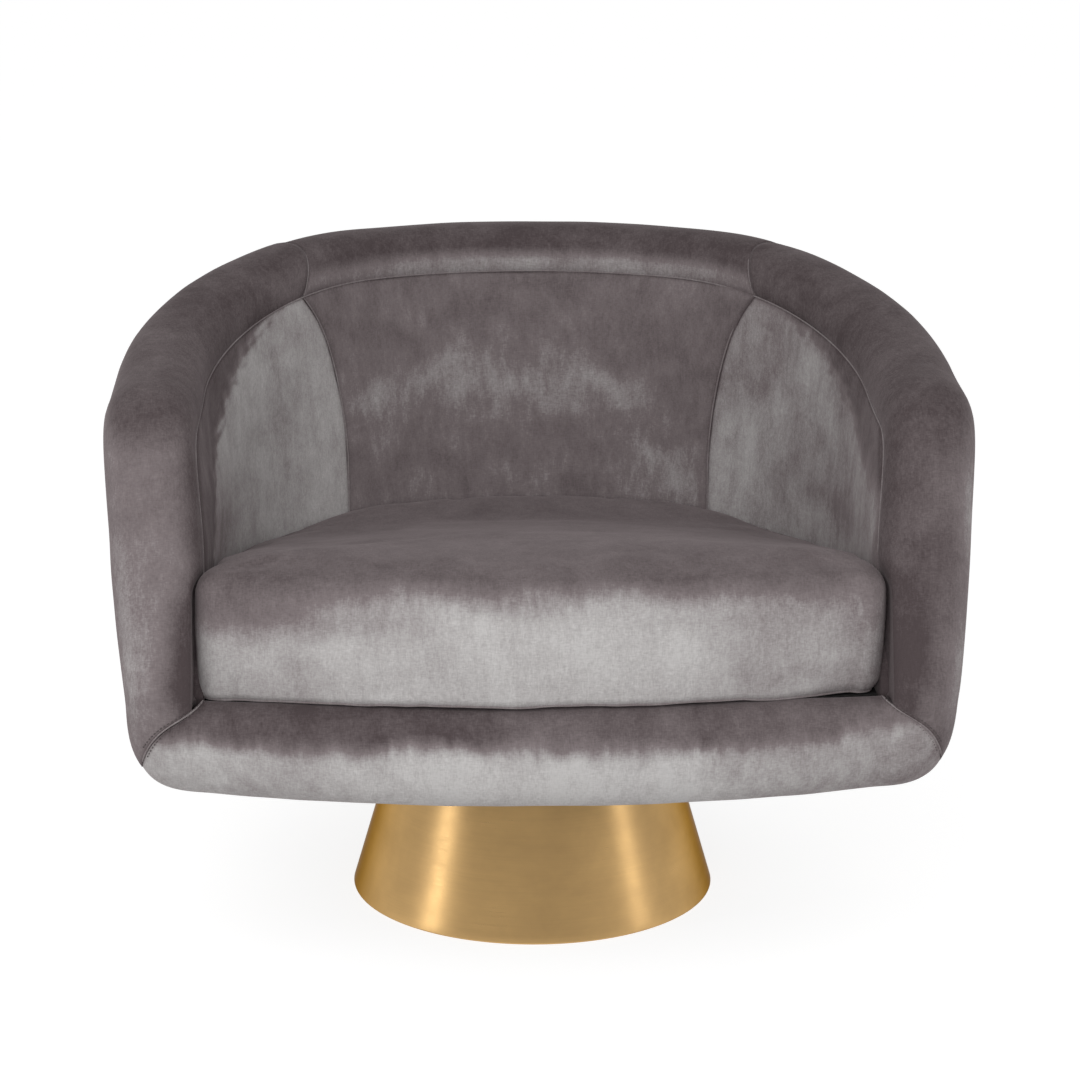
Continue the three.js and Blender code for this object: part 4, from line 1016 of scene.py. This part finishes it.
class ARMCHAIR_OT_inside(bpy.types.Operator):
    """Padded panels inside the tub"""

    bl_idname = "armchair.inside"
    bl_label = "Inside panels"

    def execute(self, context):
        tub = Tub(context.scene.armchair_sizes)
        self.back_panel(tub)
        for side, name in SIDES:
            self.side_panel(tub, side, name)
        return {"FINISHED"}

    def foot(self, tub, run):
        return tub.deck_edge(run) - PANEL_DROP

    def swollen(self, name, tub, run, height, edge):
        """A panel that swells in its middle and is drawn in at its seams."""
        swell, reach = 0.004, 0.05
        sink = DRAW_IN * np.exp(-edge / DRAW_REACH) - swell * (1 - np.exp(-edge / reach))
        return panel(name, tub.inner(run, height, sink), tub.inner(run, height, PANEL_DEPTH))

    def back_panel(self, tub):
        a, b = np.meshgrid(np.linspace(0, 1, 150), np.linspace(0, 1, 96))
        half = tub.panel_run(b) - SEAM_GAP
        run = mix(-half, half, a)
        top_run, top = tub.rim_offset(run, -RIM_GAP)
        run, height = mix(run, top_run, b), mix(self.foot(tub, run), top, b)
        edge = np.minimum.reduce([a * 0.6, (1 - a) * 0.6, (1 - b) * 0.4])
        thing = self.swollen("inside_back_padded", tub, run, height, edge)
        pucker(thing, 0.16, 0.0010, 31)
        places, _ = vertex_data(thing)
        nap_and_painted_light = 0.37 + 0.06 * smooth(0.58, 0.48, places[:, 2])
        nap_and_painted_light += 0.05 * wave_noise(places, 0.05, 33)
        nap_and_painted_light += 0.03 * wave_noise(places * [1, 1, 0.3], 0.012, 34)
        # Painted shade in the seams' valleys.
        nap_and_painted_light -= 0.20 * painted_seam_shade(places, tub.panel_seam(-1), tub.panel_seam(1), tub.rim_seam(tub.inner))
        finish_velvet(thing, nap_and_painted_light, "inside_back")

    def side_panel(self, tub, side, name):
        columns, rows = np.linspace(0, 1, 150), np.linspace(0, 1, 100)
        foot_drop = tub.s.rail_top - float(self.foot(tub, tub.front_run(tub.s.rail_top)))
        far = tub.arm_edge(rows, 3 + foot_drop / tub.s.front_cover)
        high = tub.rim_edge(columns, RIM_GAP)
        near_run = tub.panel_run(rows) + SEAM_GAP
        top_run, top = tub.rim_offset(near_run, -RIM_GAP)
        near_height = mix(self.foot(tub, near_run), top, rows)
        near = np.stack([mix(near_run, top_run, rows), near_height], axis=-1)
        low_run = mix(near[0, 0], far[0, 0], columns)
        low = np.stack([low_run, mix(self.foot(tub, low_run), far[0, 1], columns)], axis=-1)
        flat = filled(low, high, near, far, columns, rows)
        a, b = np.meshgrid(columns, rows)
        edge = np.minimum.reduce([a * 0.5, (1 - a) * 0.5, (1 - b) * 0.35])
        thing = self.swollen(f"inside_{name}_padded", tub, side * flat[..., 0], flat[..., 1], edge)
        pucker(thing, 0.12, 0.0012, 41 + side)
        places, _ = vertex_data(thing)
        y, z = places[:, 1], places[:, 2]
        # Painted shade over the front part of the panel (on the right only its upper part), beyond
        # a feathered edge that leans with the height; the rest is lighter.
        feather = 0.010 * wave_noise(places * [1, 0.3, 1], 0.012, 43)
        if side < 0:
            shade_edge_y = 0.012 + 1.42 * (z - 0.632) + feather
            nap_and_painted_light = 0.85 - 0.69 * smooth(shade_edge_y + 0.028, shade_edge_y - 0.028, y)
        else:
            shade_edge_y = 0.017 + 2.1 * (z - 0.653) + feather
            nap_and_painted_light = 0.66 - 0.50 * smooth(shade_edge_y + 0.03, shade_edge_y - 0.05, y) * smooth(0.56, 0.62, z)
        streaks = 0.6 * wave_noise(places * [1, 1, 0.22], 0.014, 44)
        streaks += 0.7 * wave_noise(places, 0.045, 45)
        nap_and_painted_light += 0.035 * streaks - 0.10 * smooth(0.70, 0.74, z)
        # Painted shade in the seams' valleys, painted shadow of the cushion low at the panel's
        # front, and painted shade where the panel turns into the arm's front.
        nap_and_painted_light -= 0.22 * painted_seam_shade(places, tub.panel_seam(side), tub.rim_seam(tub.inner))
        nap_and_painted_light -= 0.7 * smooth(-0.26, -0.33, y) * smooth(0.50, 0.45, z)
        nap_and_painted_light -= 0.30 * smooth(0.035, 0.005, y - tub.front_y(z))
        finish_velvet(thing, nap_and_painted_light, f"inside_{name}")


class ARMCHAIR_OT_outside(bpy.types.Operator):
    """Covers of the tub's outside, which turn under at the round foot"""

    bl_idname = "armchair.outside"
    bl_label = "Outside covers"

    def execute(self, context):
        tub = Tub(context.scene.armchair_sizes)
        self.back_cover(tub)
        for side, name in SIDES:
            self.side_cover(tub, side, name)
        return {"FINISHED"}

    def foot_levels(self, tub):
        """Heights of the cover's rows round its foot, from the underside up."""
        swing = np.linspace(math.pi / 2, 0, 22)[:-1]
        return tub.s.rail_top - tub.s.front_cover * np.sin(swing) ** (2 / tub.s.foot_power)

    def skin(self, name, tub, run, height, edge):
        """A cover of even thickness, drawn in at its seams."""
        front = tub.outer(run, height, DRAW_IN * np.exp(-edge / DRAW_REACH))
        drop = np.clip((tub.s.rail_top - height) / tub.s.front_cover, 0, 1)
        power = tub.s.foot_power
        rest = (1 - drop**power) ** (1 / power)
        side_way = rest ** (power - 1) / tub.foot_reach
        up_way = drop ** (power - 1) / tub.s.front_cover
        depth = COVER_DEPTH / np.sqrt(side_way**2 + up_way**2)
        drawn = tub.outer_lean(height) + tub.foot_inset(height) + depth * side_way
        half, reach = tub.outer_half - drawn, tub.outer_reach - drawn
        return panel(name, front, tub.plan(run, height + depth * up_way, half, reach))

    def back_cover(self, tub):
        half = tub.s.roll_seam - SEAM_GAP
        share = np.linspace(-1, 1, 100)[None]
        levels = self.foot_levels(tub)[:, None]
        rise = np.linspace(0, 1, 44)[:, None]
        top_run, top = tub.rim_offset(share * half, -RIM_GAP)
        run = np.concatenate([share * half + 0 * levels, mix(share * half, top_run, rise)])
        height = np.concatenate([levels + 0 * share, mix(tub.s.rail_top, top, rise)])
        beside = (1 - np.abs(share)) * half
        edge = np.minimum(beside, np.abs(tub.seam_height(run) - height))
        thing = self.skin("outside_back_cover", tub, run, height, edge)
        pucker(thing, 0.20, 0.0007, 51)
        _, normals = vertex_data(thing)
        # Painted light: lighter where the cover faces down, where it turns under at the foot.
        nap_and_painted_light = 0.40 + 0.14 * smooth(0.1, -0.5, normals[:, 2])
        finish_velvet(thing, nap_and_painted_light, "outside_back")

    def side_cover(self, tub, side, name):
        columns, rows = np.linspace(0, 1, 90), np.linspace(0, 1, 48)
        start = tub.s.roll_seam + SEAM_GAP
        far = tub.arm_edge(rows, 3)
        high = tub.rim_edge(columns, SEAM_GAP)
        near_run, near_height = mix(start, high[0, 0], rows), mix(tub.s.rail_top, high[0, 1], rows)
        near = np.stack([near_run, near_height], axis=-1)
        low = mix(near[0], far[0], columns[:, None])
        flat = filled(low, high, near, far, columns, rows)
        levels = self.foot_levels(tub)
        foot_run = mix(start, (tub.front_run(levels) - RIM_GAP)[:, None], columns[None])
        run = np.concatenate([foot_run, flat[..., 0]])
        height = np.concatenate([levels[:, None] + 0 * foot_run, flat[..., 1]])
        share = columns[None]
        top = np.concatenate([np.ones(len(levels)), 1 - rows])[:, None]
        edge = np.minimum(np.minimum(share, 1 - share) * 0.45, top * 0.3)
        thing = self.skin(f"outside_{name}_cover", tub, side * run, height, edge)
        pucker(thing, 0.20, 0.0007, 61 + side)
        _, normals = vertex_data(thing)
        # Painted light: lighter where the cover faces down, where it turns under at the foot.
        nap_and_painted_light = 0.42 + 0.12 * smooth(0.1, -0.5, normals[:, 2])
        finish_velvet(thing, nap_and_painted_light, f"outside_{name}")


class ARMCHAIR_OT_front_cover(bpy.types.Operator):
    """Padded cover of the front rail, between the two mitre seams"""

    bl_idname = "armchair.front_cover"
    bl_label = "Front cover"

    def execute(self, context):
        tub = Tub(context.scene.armchair_sizes)
        across, out = lip_section(tub, 34)
        swing = np.linspace(tub.s.mitre, math.pi / 2, 22)[:, None]
        slack = 0.0005
        left = tub.corner_section(-1, swing, across[None], out[None], slack)
        right = tub.corner_section(1, swing[::-1], across[None], out[None], slack)
        half = tub.corner_half - slack
        x = np.linspace(-half, half, 120)[1:-1, None] + 0 * across[None]
        height = mix(tub.s.rail_top, tub.underside, across[None]) + 0 * x
        y = tub.rail_back(x, height) - out[None] * tub.s.front_rise
        middle = np.stack([x, y, height - slack], axis=-1)
        stations = relax(np.concatenate([left, middle, right]), 6)
        thing = swept("front_cover_padded", shrink_ends(stations, 0.03))
        pucker(thing, 0.18, 0.0007, 71)
        places, _ = vertex_data(thing)
        x, _, level = places.T
        # Painted shadow and sheen: dark above a ragged level line, a painted shadow under the
        # cushion's overhang, and silver below it where the cover faces forward, a painted sheen;
        # both tones vary across the rail.
        level = level + 0.005 * wave_noise(places, 0.08, 72) - 0.010 * smooth(0.24, 0.36, x)
        level += 0.0024 * wave_noise(places * [1, 0.2, 0.2], 0.010, 73)
        silver = mix(0.84, 0.97, smooth(-0.30, -0.12, x)) - 0.22 * smooth(0.14, 0.26, x)
        silver -= 0.14 * smooth(0.32, 0.42, x)
        dark = 0.07 + 0.17 * smooth(-0.14, 0.0, x)
        turned = smooth(0.338, 0.304, level)
        nap_and_painted_light = mix(dark, silver, turned)
        nap_and_painted_light += 0.03 * wave_noise(places * [1, 0.3, 0.3], 0.009, 74)
        # Painted shade in the mitre seams' valleys.
        nap_and_painted_light -= 0.20 * painted_seam_shade(places, tub.mitre_seam(-1), tub.mitre_seam(1))
        finish_velvet(thing, nap_and_painted_light, "front_cover")
        return {"FINISHED"}


class CushionForm:
    """Plan and surface of the loose cushion."""

    UNDER_RINGS = 5

    def __init__(self, tub, sizes):
        self.tub, self.s = tub, sizes
        self.half = tub.corner_half - sizes.gap
        self.front = tub.s.curve_y - tub.front_centre + sizes.overhang
        self.rear = float(tub.inner_reach(tub.deck_top(tub.inner_reach_top / 2))) - sizes.gap

    def front_line(self, share):
        return self.s.bow * share * share - self.front

    def outline(self, step):
        """Closed plan path about the curve's centre, its normals, and where it faces ahead."""
        end = self.front_line(1) + self.s.corner
        share = np.linspace(0, 1, 24)[1:]
        draw = self.s.draw_in * np.sin(math.pi * share)
        side = np.stack([self.half - draw, end * share], axis=-1)
        turn = np.linspace(0, math.pi / 2, 14)[1:-1]
        corner_x = self.half - self.s.corner * (1 - np.cos(turn))
        corner = np.stack([corner_x, end - self.s.corner * np.sin(turn)], axis=-1)
        share = np.linspace(1, -1, 60)
        front = np.stack([(self.half - self.s.corner) * share, self.front_line(share)], axis=-1)
        right = np.concatenate([side, corner])
        turn = np.linspace(math.pi, 0, 90)
        back = np.stack([self.half * np.cos(turn), self.rear * np.sin(turn)], axis=-1)
        whole = np.concatenate([right, front, right[::-1] * [-1, 1], back])
        whole = np.concatenate([whole, 0 * whole[:, :1]], axis=1)
        path = even_path(np.concatenate([whole, whole[:1]]), step)[:-1, :2]
        along = np.roll(path, -1, axis=0) - np.roll(path, 1, axis=0)
        normal = np.stack([-along[:, 1], along[:, 0]], axis=-1)
        for _ in range(24):
            beside = np.roll(normal, 1, axis=0) + np.roll(normal, -1, axis=0)
            normal = 0.5 * normal + 0.25 * beside
        normal = unit(normal)
        return path, normal, smooth(0.15, 0.95, -normal[:, 1])

    def bottom(self, y):
        return self.tub.deck_top(y) + 0.001

    def thickness(self, plan, scale=1.0):
        y = self.tub.s.curve_y + scale * plan[0][:, 1]
        reach = self.rear + self.tub.s.curve_y - self.tub.front_centre
        along = (y - self.tub.front_centre) / reach
        fall = smooth(0.15 * scale - 0.05, 0.97 - 0.35 * scale, along)
        thick = mix(self.s.front_thickness, self.s.waist_thickness, fall)
        thick += (self.s.rear_thickness - self.s.waist_thickness) * smooth(0.74, 0.92, along)
        return thick + self.s.crown * (1 - scale * scale)

    def limit(self, x, y, z):
        """Half the width that the cushion may take: it swells past the arms' seams in front."""
        lowest, behind, ahead = 0.43, 0.006, 0.018
        seam = self.tub.front_y(np.maximum(z, lowest))
        swell = np.where(x < 0, self.s.swell_left, self.s.swell_right)
        return self.half + swell * smooth(seam + behind, seam - ahead, y)

    def ring(self, plan, inset, rise, scale=1.0):
        """The plan path drawn in by inset, scaled, and raised over the cushion's bottom."""
        path, normal, _ = plan
        flat = (path - normal * inset[:, None]) * scale
        y = self.tub.s.curve_y + flat[:, 1]
        height = self.bottom(y) + rise
        lean = self.tub.inner_reach(height) - self.s.gap - self.rear
        y = y + np.where(path[:, 1] > 0, scale * lean * path[:, 1] / self.rear, 0)
        x = flat[:, 0] * self.limit(flat[:, 0], y, height) / self.half
        return np.stack([x, y, height], axis=-1)

    def stations(self, plan):
        """Rings from under the cushion, round its edge and over its top."""
        path, _, ahead = plan
        tight, bulge = 0.013, 0.004
        free = smooth(-0.12, -0.22, path[:, 1])
        corner = free * smooth(self.half - 0.15, self.half - 0.02, np.abs(path[:, 0]))
        round_low = np.where(path[:, 0] < 0, tight, 2 * tight)
        low = mix(mix(0.010, tight, ahead), round_low, corner)
        level = ahead * smooth(self.half, self.half - 0.10, np.abs(path[:, 0]))
        shoulder = mix(tight, self.s.shoulder, free)
        wide = mix(shoulder, self.s.front_round, level)
        deep = mix(shoulder, self.s.front_drop, level)
        thick = self.thickness(plan)
        under = np.linspace(0.15, 0.97, self.UNDER_RINGS)
        rows = [self.ring(plan, low, 0 * thick, share) for share in under]
        for turn in np.linspace(0, math.pi / 2, 6):
            rows.append(self.ring(plan, low * (1 - math.sin(turn)), low * (1 - math.cos(turn))))
        for share in np.linspace(0, 1, 8)[1:-1]:
            inset = -bulge * ahead * math.sin(math.pi * share)
            rows.append(self.ring(plan, inset, mix(low, thick - deep, share)))
        for turn in np.linspace(0, math.pi / 2, 9):
            rise = thick - deep * (1 - math.sin(turn))
            rows.append(self.ring(plan, wide * (1 - math.cos(turn)), rise))
        for share in np.linspace(1, 0.03, 16)[1:]:
            rows.append(self.ring(plan, wide, self.thickness(plan, share), share))
        return np.stack(rows)


class ARMCHAIR_OT_cushion(bpy.types.Operator):
    """Loose crowned seat cushion, with its sewn lower edge"""

    bl_idname = "armchair.cushion"
    bl_label = "Seat cushion"

    def execute(self, context):
        tub = Tub(context.scene.armchair_sizes)
        form = CushionForm(tub, context.scene.armchair_cushion)
        plan = form.outline(0.010)
        grid = form.stations(plan)
        grid = self.fill(grid, form)
        grid = finer(finer(grid, 0), 1, wrap=True)
        thing = swept("seat_cushion_padded", grid)
        pucker(thing, 0.17, 0.0012, 81)
        self.press(thing, form)
        finish_velvet(thing, self.nap_and_painted_light(thing), "seat_cushion", "cushion")
        self.sewn_edge(thing, plan, grid)
        return {"FINISHED"}

    def fill(self, grid, form):
        """Lets a cloth simulation swell the cover, and keeps each point near its place."""
        cover = swept("cushion_cover", grid)
        cloth = cover.modifiers.new("Filling", "CLOTH")
        values = {
            "quality": 5,
            "mass": 0.3,
            "tension_stiffness": 25,
            "compression_stiffness": 25,
            "bending_stiffness": 2.0,
            "use_pressure": True,
            "uniform_pressure_force": 3.0,
        }
        for name, value in values.items():
            setattr(cloth.settings, name, value)
        cloth.settings.effector_weights.gravity = 0
        cloth.collision_settings.use_collision = False
        scene, frames = bpy.context.scene, 15
        for step in range(1, frames + 1):
            scene.frame_set(step)
        shaped = cover.evaluated_get(bpy.context.evaluated_depsgraph_get())
        swollen = np.empty(len(cover.data.vertices) * 3)
        shaped.data.vertices.foreach_get("co", swollen)
        swollen = swollen.reshape(-1, 3)[: grid.shape[0] * grid.shape[1]].reshape(grid.shape)
        bpy.data.objects.remove(cover)
        scene.frame_set(1)
        push = swollen - grid
        size = np.linalg.norm(push, axis=-1, keepdims=True)
        most = form.s.puff
        return grid + push * most * np.tanh(size / most) / np.maximum(size, 1e-9)

    def press(self, thing, form):
        """Keeps the cushion on its deck and inside the tub's walls and swollen back panel."""
        x, y, z = vertex_data(thing)[0].T
        z = np.maximum(z, form.bottom(y))
        limit = form.limit(x, y, z)
        x = np.clip(x, -limit, limit)
        centre = form.tub.s.curve_y
        back = y - centre
        swollen = form.s.panel_swell * smooth(0.0, 0.08, back)
        reach = form.tub.inner_reach(z) - form.s.gap - swollen
        ratio = np.sqrt((x / (form.half - swollen)) ** 2 + (back / reach) ** 2)
        shrink = np.where((back > 0) & (ratio > 1), 1 / np.maximum(ratio, 1e-6), 1)
        move_points(thing, np.stack([x * shrink, centre + back * shrink, z], axis=-1))

    def nap_and_painted_light(self, thing):
        """Painted light and shade by the way the surface faces: dark on top, silver in front below
        a ragged level line, duller towards the sides.
        """
        places, normals = vertex_data(thing)
        x, z = places[:, 0], places[:, 2]
        level = z + 0.005 * wave_noise(places, 0.11, 84)
        level += 0.0022 * wave_noise(places * [1, 0.2, 0.2], 0.010, 85)
        ahead = smooth(0.10, 0.55, -normals[:, 1])
        top = 0.33 - 0.12 * smooth(0.99, 0.90, normals[:, 2]) * smooth(-0.1, 0.3, -normals[:, 1])
        silver = 0.92 - 0.14 * smooth(-0.18, -0.34, x) - 0.16 * smooth(0.16, 0.26, x)
        silver -= 0.15 * smooth(0.30, 0.385, x)
        high = smooth(0.425, 0.47, z)
        silver -= high * (0.40 * smooth(-0.06, -0.36, x) + 0.10 * smooth(0.06, 0.18, x))
        turned = smooth(0.526, 0.466, level)
        nap_and_painted_light = mix(top, silver, ahead * turned)
        return nap_and_painted_light + 0.018 * wave_noise(places * [1, 0.3, 0.3], 0.009, 86) * ahead

    def sewn_edge(self, thing, plan, grid):
        """The seam along the cushion's lower edge, where it shows in front."""
        covered_from, lift, radius = -0.20, 0.0006, 0.0013
        places, normals = vertex_data(thing)
        row = 2 * (CushionForm.UNDER_RINGS + 2)
        shown = 2 * np.flatnonzero(plan[0][:, 1] < covered_from)
        ids = row * grid.shape[1] + np.arange(shown[0], shown[-1] + 1)
        path = places[ids] + normals[ids] * lift
        seam = tube("cushion_seam", even_path(path, SEAM_STEP), radius)
        finish_piece(seam, "cushion", "seam velvet")


class ARMCHAIR_OT_seams(bpy.types.Operator):
    """Raised seams between the velvet pieces"""

    bl_idname = "armchair.seams"
    bl_label = "Seams"

    def ridge(self, name, path, radius=0.0010):
        thing = tube(name, even_path(path, SEAM_STEP), radius)
        finish_piece(thing, "tub", "seam velvet")

    def execute(self, context):
        tub = Tub(context.scene.armchair_sizes)
        cushion_top = 0.47
        inside = tub.rim_seam(tub.inner)
        self.ridge("seam_inside_rim", inside[inside[:, 2] > cushion_top])
        self.ridge("seam_outside_rim", tub.rim_seam(tub.outer))
        across, out = tub.section(np.linspace(0, math.pi, 60))
        seam_run = tub.s.roll_seam - out * tub.s.roll_seam_lean
        rim_run, rim_height = tub.rim_offset(seam_run, out * tub.s.roll_rise * CROSS_SEAM)
        levels = np.linspace(tub.underside + 0.02, float(tub.seam_height(tub.s.roll_seam)), 60)
        for side, name in SIDES:
            self.ridge(f"seam_roll_{name}", tub.wall(side * rim_run, rim_height, across), 0.0006)
            self.ridge(f"seam_inside_{name}", tub.panel_seam(side), 0.0011)
            self.ridge(f"seam_outside_{name}", tub.outer(side * tub.s.roll_seam, levels, 0.0010))
            self.ridge(f"seam_mitre_{name}", tub.mitre_seam(side), 0.0012)
        return {"FINISHED"}


class ARMCHAIR_OT_stitching(bpy.types.Operator):
    """Two rows of stitches along each mitre seam"""

    bl_idname = "armchair.stitching"
    bl_label = "Stitching"

    def execute(self, context):
        tub = Tub(context.scene.armchair_sizes)
        first_turn, last_turn, sunk, thread = 0.35, 2.25, 0.98, 0.0007
        across, out = tub.section(np.linspace(first_turn, last_turn, 80))
        out *= sunk
        for side, name in SIDES:
            core = tub.corner_section(side, tub.s.mitre, 0.5, 0.0)
            for row, shift in (("lower", 0.045), ("upper", -0.075)):
                swing = tub.s.mitre + shift
                path = tub.corner_section(side, swing, across, out)
                beside = tub.corner_section(side, swing + 0.01, across, out)
                lift = unit(np.cross(np.gradient(path, axis=0), beside - path))
                lift *= np.sign(np.sum(lift * (path - core), axis=1))[:, None]
                count = int(np.linalg.norm(np.diff(path, axis=0), axis=1).sum() / STITCH) + 1
                picks = np.linspace(0, len(path) - 1, count).astype(int)
                thing = stitches(f"stitches_{name}_{row}", path, lift[picks], STITCH, thread)
                finish_piece(thing, "tub", "stitching thread")
        return {"FINISHED"}


class ARMCHAIR_OT_cone(bpy.types.Operator):
    """Spun metal cone with a softly rounded foot and top edge"""

    bl_idname = "armchair.cone"
    bl_label = "Cone"

    def execute(self, context):
        s = context.scene.armchair_pedestal
        sides = 256
        slope = (s.foot_radius - s.top_radius) / (s.top_height - s.foot_height)
        skin = s.sheet * math.hypot(1, slope)
        bend, top_bend, top_edge = 0.0016, 0.0006, 0.001

        def radius(height):
            return s.foot_radius - slope * (height - s.foot_height)

        profile = [(s.foot_radius - s.flange, s.foot_height), (s.foot_radius - bend, s.foot_height)]
        middle, level = radius(s.foot_height + bend) - bend, s.foot_height + bend
        for turn in np.linspace(-math.pi / 2, math.atan(slope), 7)[1:]:
            profile.append((middle + bend * math.cos(turn), level + bend * math.sin(turn)))
        for height in np.linspace(0.012, s.top_height - top_edge, 24):
            profile.append((radius(height), height))
        profile += [(s.top_radius - top_bend, s.top_height), (s.top_radius - skin, s.top_height)]
        inner_low = s.foot_height + s.sheet
        profile += [(radius(inner_low) - skin, inner_low), (s.foot_radius - s.flange, inner_low)]
        turns = np.linspace(0, 2 * math.pi, sides, endpoint=False)
        ring = np.array(profile + profile[:1])
        x, y = ring[:, :1] * np.cos(turns), ring[:, :1] * np.sin(turns)
        points = np.stack([x, y, ring[:, 1:] + 0 * turns], axis=-1)
        faces = grid_faces(len(ring), sides, wrap=True)
        thing = mesh_object("pedestal_cone", points.reshape(-1, 3), faces)
        edges = thing.modifiers.new("Edges", "EDGE_SPLIT")
        edges.split_angle = math.radians(38)
        finish_piece(thing, "pedestal", "brushed brass", ["base_cone"])
        return {"FINISHED"}


class ARMCHAIR_OT_stage(bpy.types.Operator):
    """Pale floor, soft studio lamps and the camera"""

    bl_idname = "armchair.stage"
    bl_label = "Studio"

    def execute(self, context):
        s = context.scene.armchair_studio
        self.floor(s)
        self.world(context.scene)
        self.lamp("key", (-1.6, -2.6, 3.0), (0, 0, 0.45), 1.8, 1.8, 22)
        front = self.lamp("front", (-0.4, -3.8, 1.7), (0, 0.2, 0.55), 1.8, 1.4, 40)
        front.visible_glossy = False  # Keeps its glare off the cone's middle
        self.lamp("fill", (2.4, -2.2, 2.0), (0, 0, 0.45), 1.6, 1.6, 9)
        self.lamp("strip_left", (-2.83, -1.26, 0.75), (0, 0, 0.15), 0.15, 1.5, 9)
        self.lamp("strip_right", (2.85, -1.22, 0.75), (0, 0, 0.15), 0.30, 1.5, 5)
        self.camera(context.scene, s)
        context.scene.view_settings.view_transform = "Standard"
        return {"FINISHED"}

    def floor(self, s):
        mesh = bpy.data.meshes.new("floor")
        half = s.floor_side / 2
        corners = [(-half, -half, 0), (half, -half, 0), (half, half, 0), (-half, half, 0)]
        mesh.from_pydata(corners, [], [(0, 1, 2, 3)])
        floor = bpy.data.objects.new("floor", mesh)
        bpy.context.scene.collection.objects.link(floor)
        material = bpy.data.materials.new("studio floor")
        material.use_nodes = True
        n = Nodes(material.node_tree)
        shader = material.node_tree.nodes["Principled BSDF"].inputs
        shader["Roughness"].default_value = 0.9
        shader["Specular IOR Level"].default_value = 0.0
        rays = n.add("ShaderNodeLightPath").outputs
        seen = n.maths("ADD", rays["Is Camera Ray"], rays["Is Glossy Ray"], clamp=True)
        seen = n.maths("ADD", seen, rays["Is Transmission Ray"], clamp=True)
        pale, plain = (0.80, 0.80, 0.80, 1), (0.40, 0.40, 0.40, 1)
        n.link(n.blend(seen, pale, plain), shader["Base Color"])
        n.link(n.blend(seen, (0, 0, 0, 1), (1, 1, 1, 1)), shader["Emission Color"])
        shader["Emission Strength"].default_value = 0.80
        mesh.materials.append(material)

    def world(self, scene):
        world = bpy.data.worlds.new("studio")
        scene.world = world
        world.use_nodes = True
        n = Nodes(world.node_tree)
        back = world.node_tree.nodes["Background"].inputs
        rays = n.add("ShaderNodeLightPath").outputs
        seen = n.maths("ADD", rays["Is Camera Ray"], rays["Is Transmission Ray"], clamp=True)
        n.link(n.maths("ADD", n.maths("MULTIPLY", seen, 0.5), 0.5), back["Strength"])
        back["Color"].default_value = (1, 1, 1, 1)

    def lamp(self, name, place, aim, wide, tall, power):
        light = bpy.data.lights.new(name, "AREA")
        light.shape = "RECTANGLE"
        light.size, light.size_y = wide, tall
        light.energy = power
        lamp = bpy.data.objects.new(name, light)
        lamp.location = place
        way = Vector(aim) - Vector(place)
        lamp.rotation_euler = way.to_track_quat("-Z", "Y").to_euler()
        bpy.context.scene.collection.objects.link(lamp)
        return lamp

    def camera(self, scene, s):
        place = Vector((math.sin(s.turn) * s.distance, -math.cos(s.turn) * s.distance, s.height))
        level = math.cos(s.pitch)
        ahead = Vector((-math.sin(s.turn) * level, math.cos(s.turn) * level, -math.sin(s.pitch)))
        ahead = Matrix.Rotation(s.aim, 3, "Z") @ ahead
        right = ahead.cross(Vector((0, 0, 1))).normalized()
        up = right.cross(ahead)
        tilted_right = math.cos(s.roll) * right + math.sin(s.roll) * up
        tilted_up = -math.sin(s.roll) * right + math.cos(s.roll) * up
        data = bpy.data.cameras.new("camera")
        data.sensor_width = 36
        data.lens = s.lens
        camera = bpy.data.objects.new("camera", data)
        turn = Matrix((tilted_right, tilted_up, -ahead)).transposed().to_4x4()
        camera.matrix_world = Matrix.Translation(place) @ turn
        scene.collection.objects.link(camera)
        scene.camera = camera


class ARMCHAIR_PT_panel(bpy.types.Panel):
    """Lists the armchair's pieces"""

    bl_idname = "ARMCHAIR_PT_panel"
    bl_label = "Swivel tub armchair"
    bl_space_type = "VIEW_3D"
    bl_region_type = "UI"
    bl_category = "Armchair"

    def draw(self, context):
        for piece in PIECES:
            self.layout.operator(piece.bl_idname)
        for group in GROUPS:
            values = getattr(context.scene, group)
            box = self.layout.box()
            for name in values.__annotations__:
                box.prop(values, name)


GROUPS = {
    "armchair_sizes": ArmchairSizes,
    "armchair_cushion": CushionSizes,
    "armchair_pedestal": PedestalSizes,
    "armchair_colours": VelvetColours,
    "armchair_studio": StudioSizes,
}

PIECES = (
    ARMCHAIR_OT_finishes,
    ARMCHAIR_OT_rolls,
    ARMCHAIR_OT_inside,
    ARMCHAIR_OT_outside,
    ARMCHAIR_OT_front_cover,
    ARMCHAIR_OT_cushion,
    ARMCHAIR_OT_seams,
    ARMCHAIR_OT_stitching,
    ARMCHAIR_OT_cone,
    ARMCHAIR_OT_stage,
)


def register():
    for group in GROUPS.values():
        bpy.utils.register_class(group)
    for piece in (*PIECES, ARMCHAIR_PT_panel):
        bpy.utils.register_class(piece)
    for name, group in GROUPS.items():
        setattr(bpy.types.Scene, name, PointerProperty(type=group))


def unregister():
    for name in GROUPS:
        delattr(bpy.types.Scene, name)
    for piece in (ARMCHAIR_PT_panel, *reversed(PIECES)):
        bpy.utils.unregister_class(piece)
    for group in reversed(GROUPS.values()):
        bpy.utils.unregister_class(group)


def main():
    register()
    bpy.ops.armchair.finishes()
    bpy.ops.armchair.rolls()
    bpy.ops.armchair.inside()
    bpy.ops.armchair.outside()
    bpy.ops.armchair.front_cover()
    bpy.ops.armchair.cushion()
    bpy.ops.armchair.seams()
    bpy.ops.armchair.stitching()
    bpy.ops.armchair.cone()
    bpy.ops.armchair.stage()


if __name__ == "__main__":
    main()
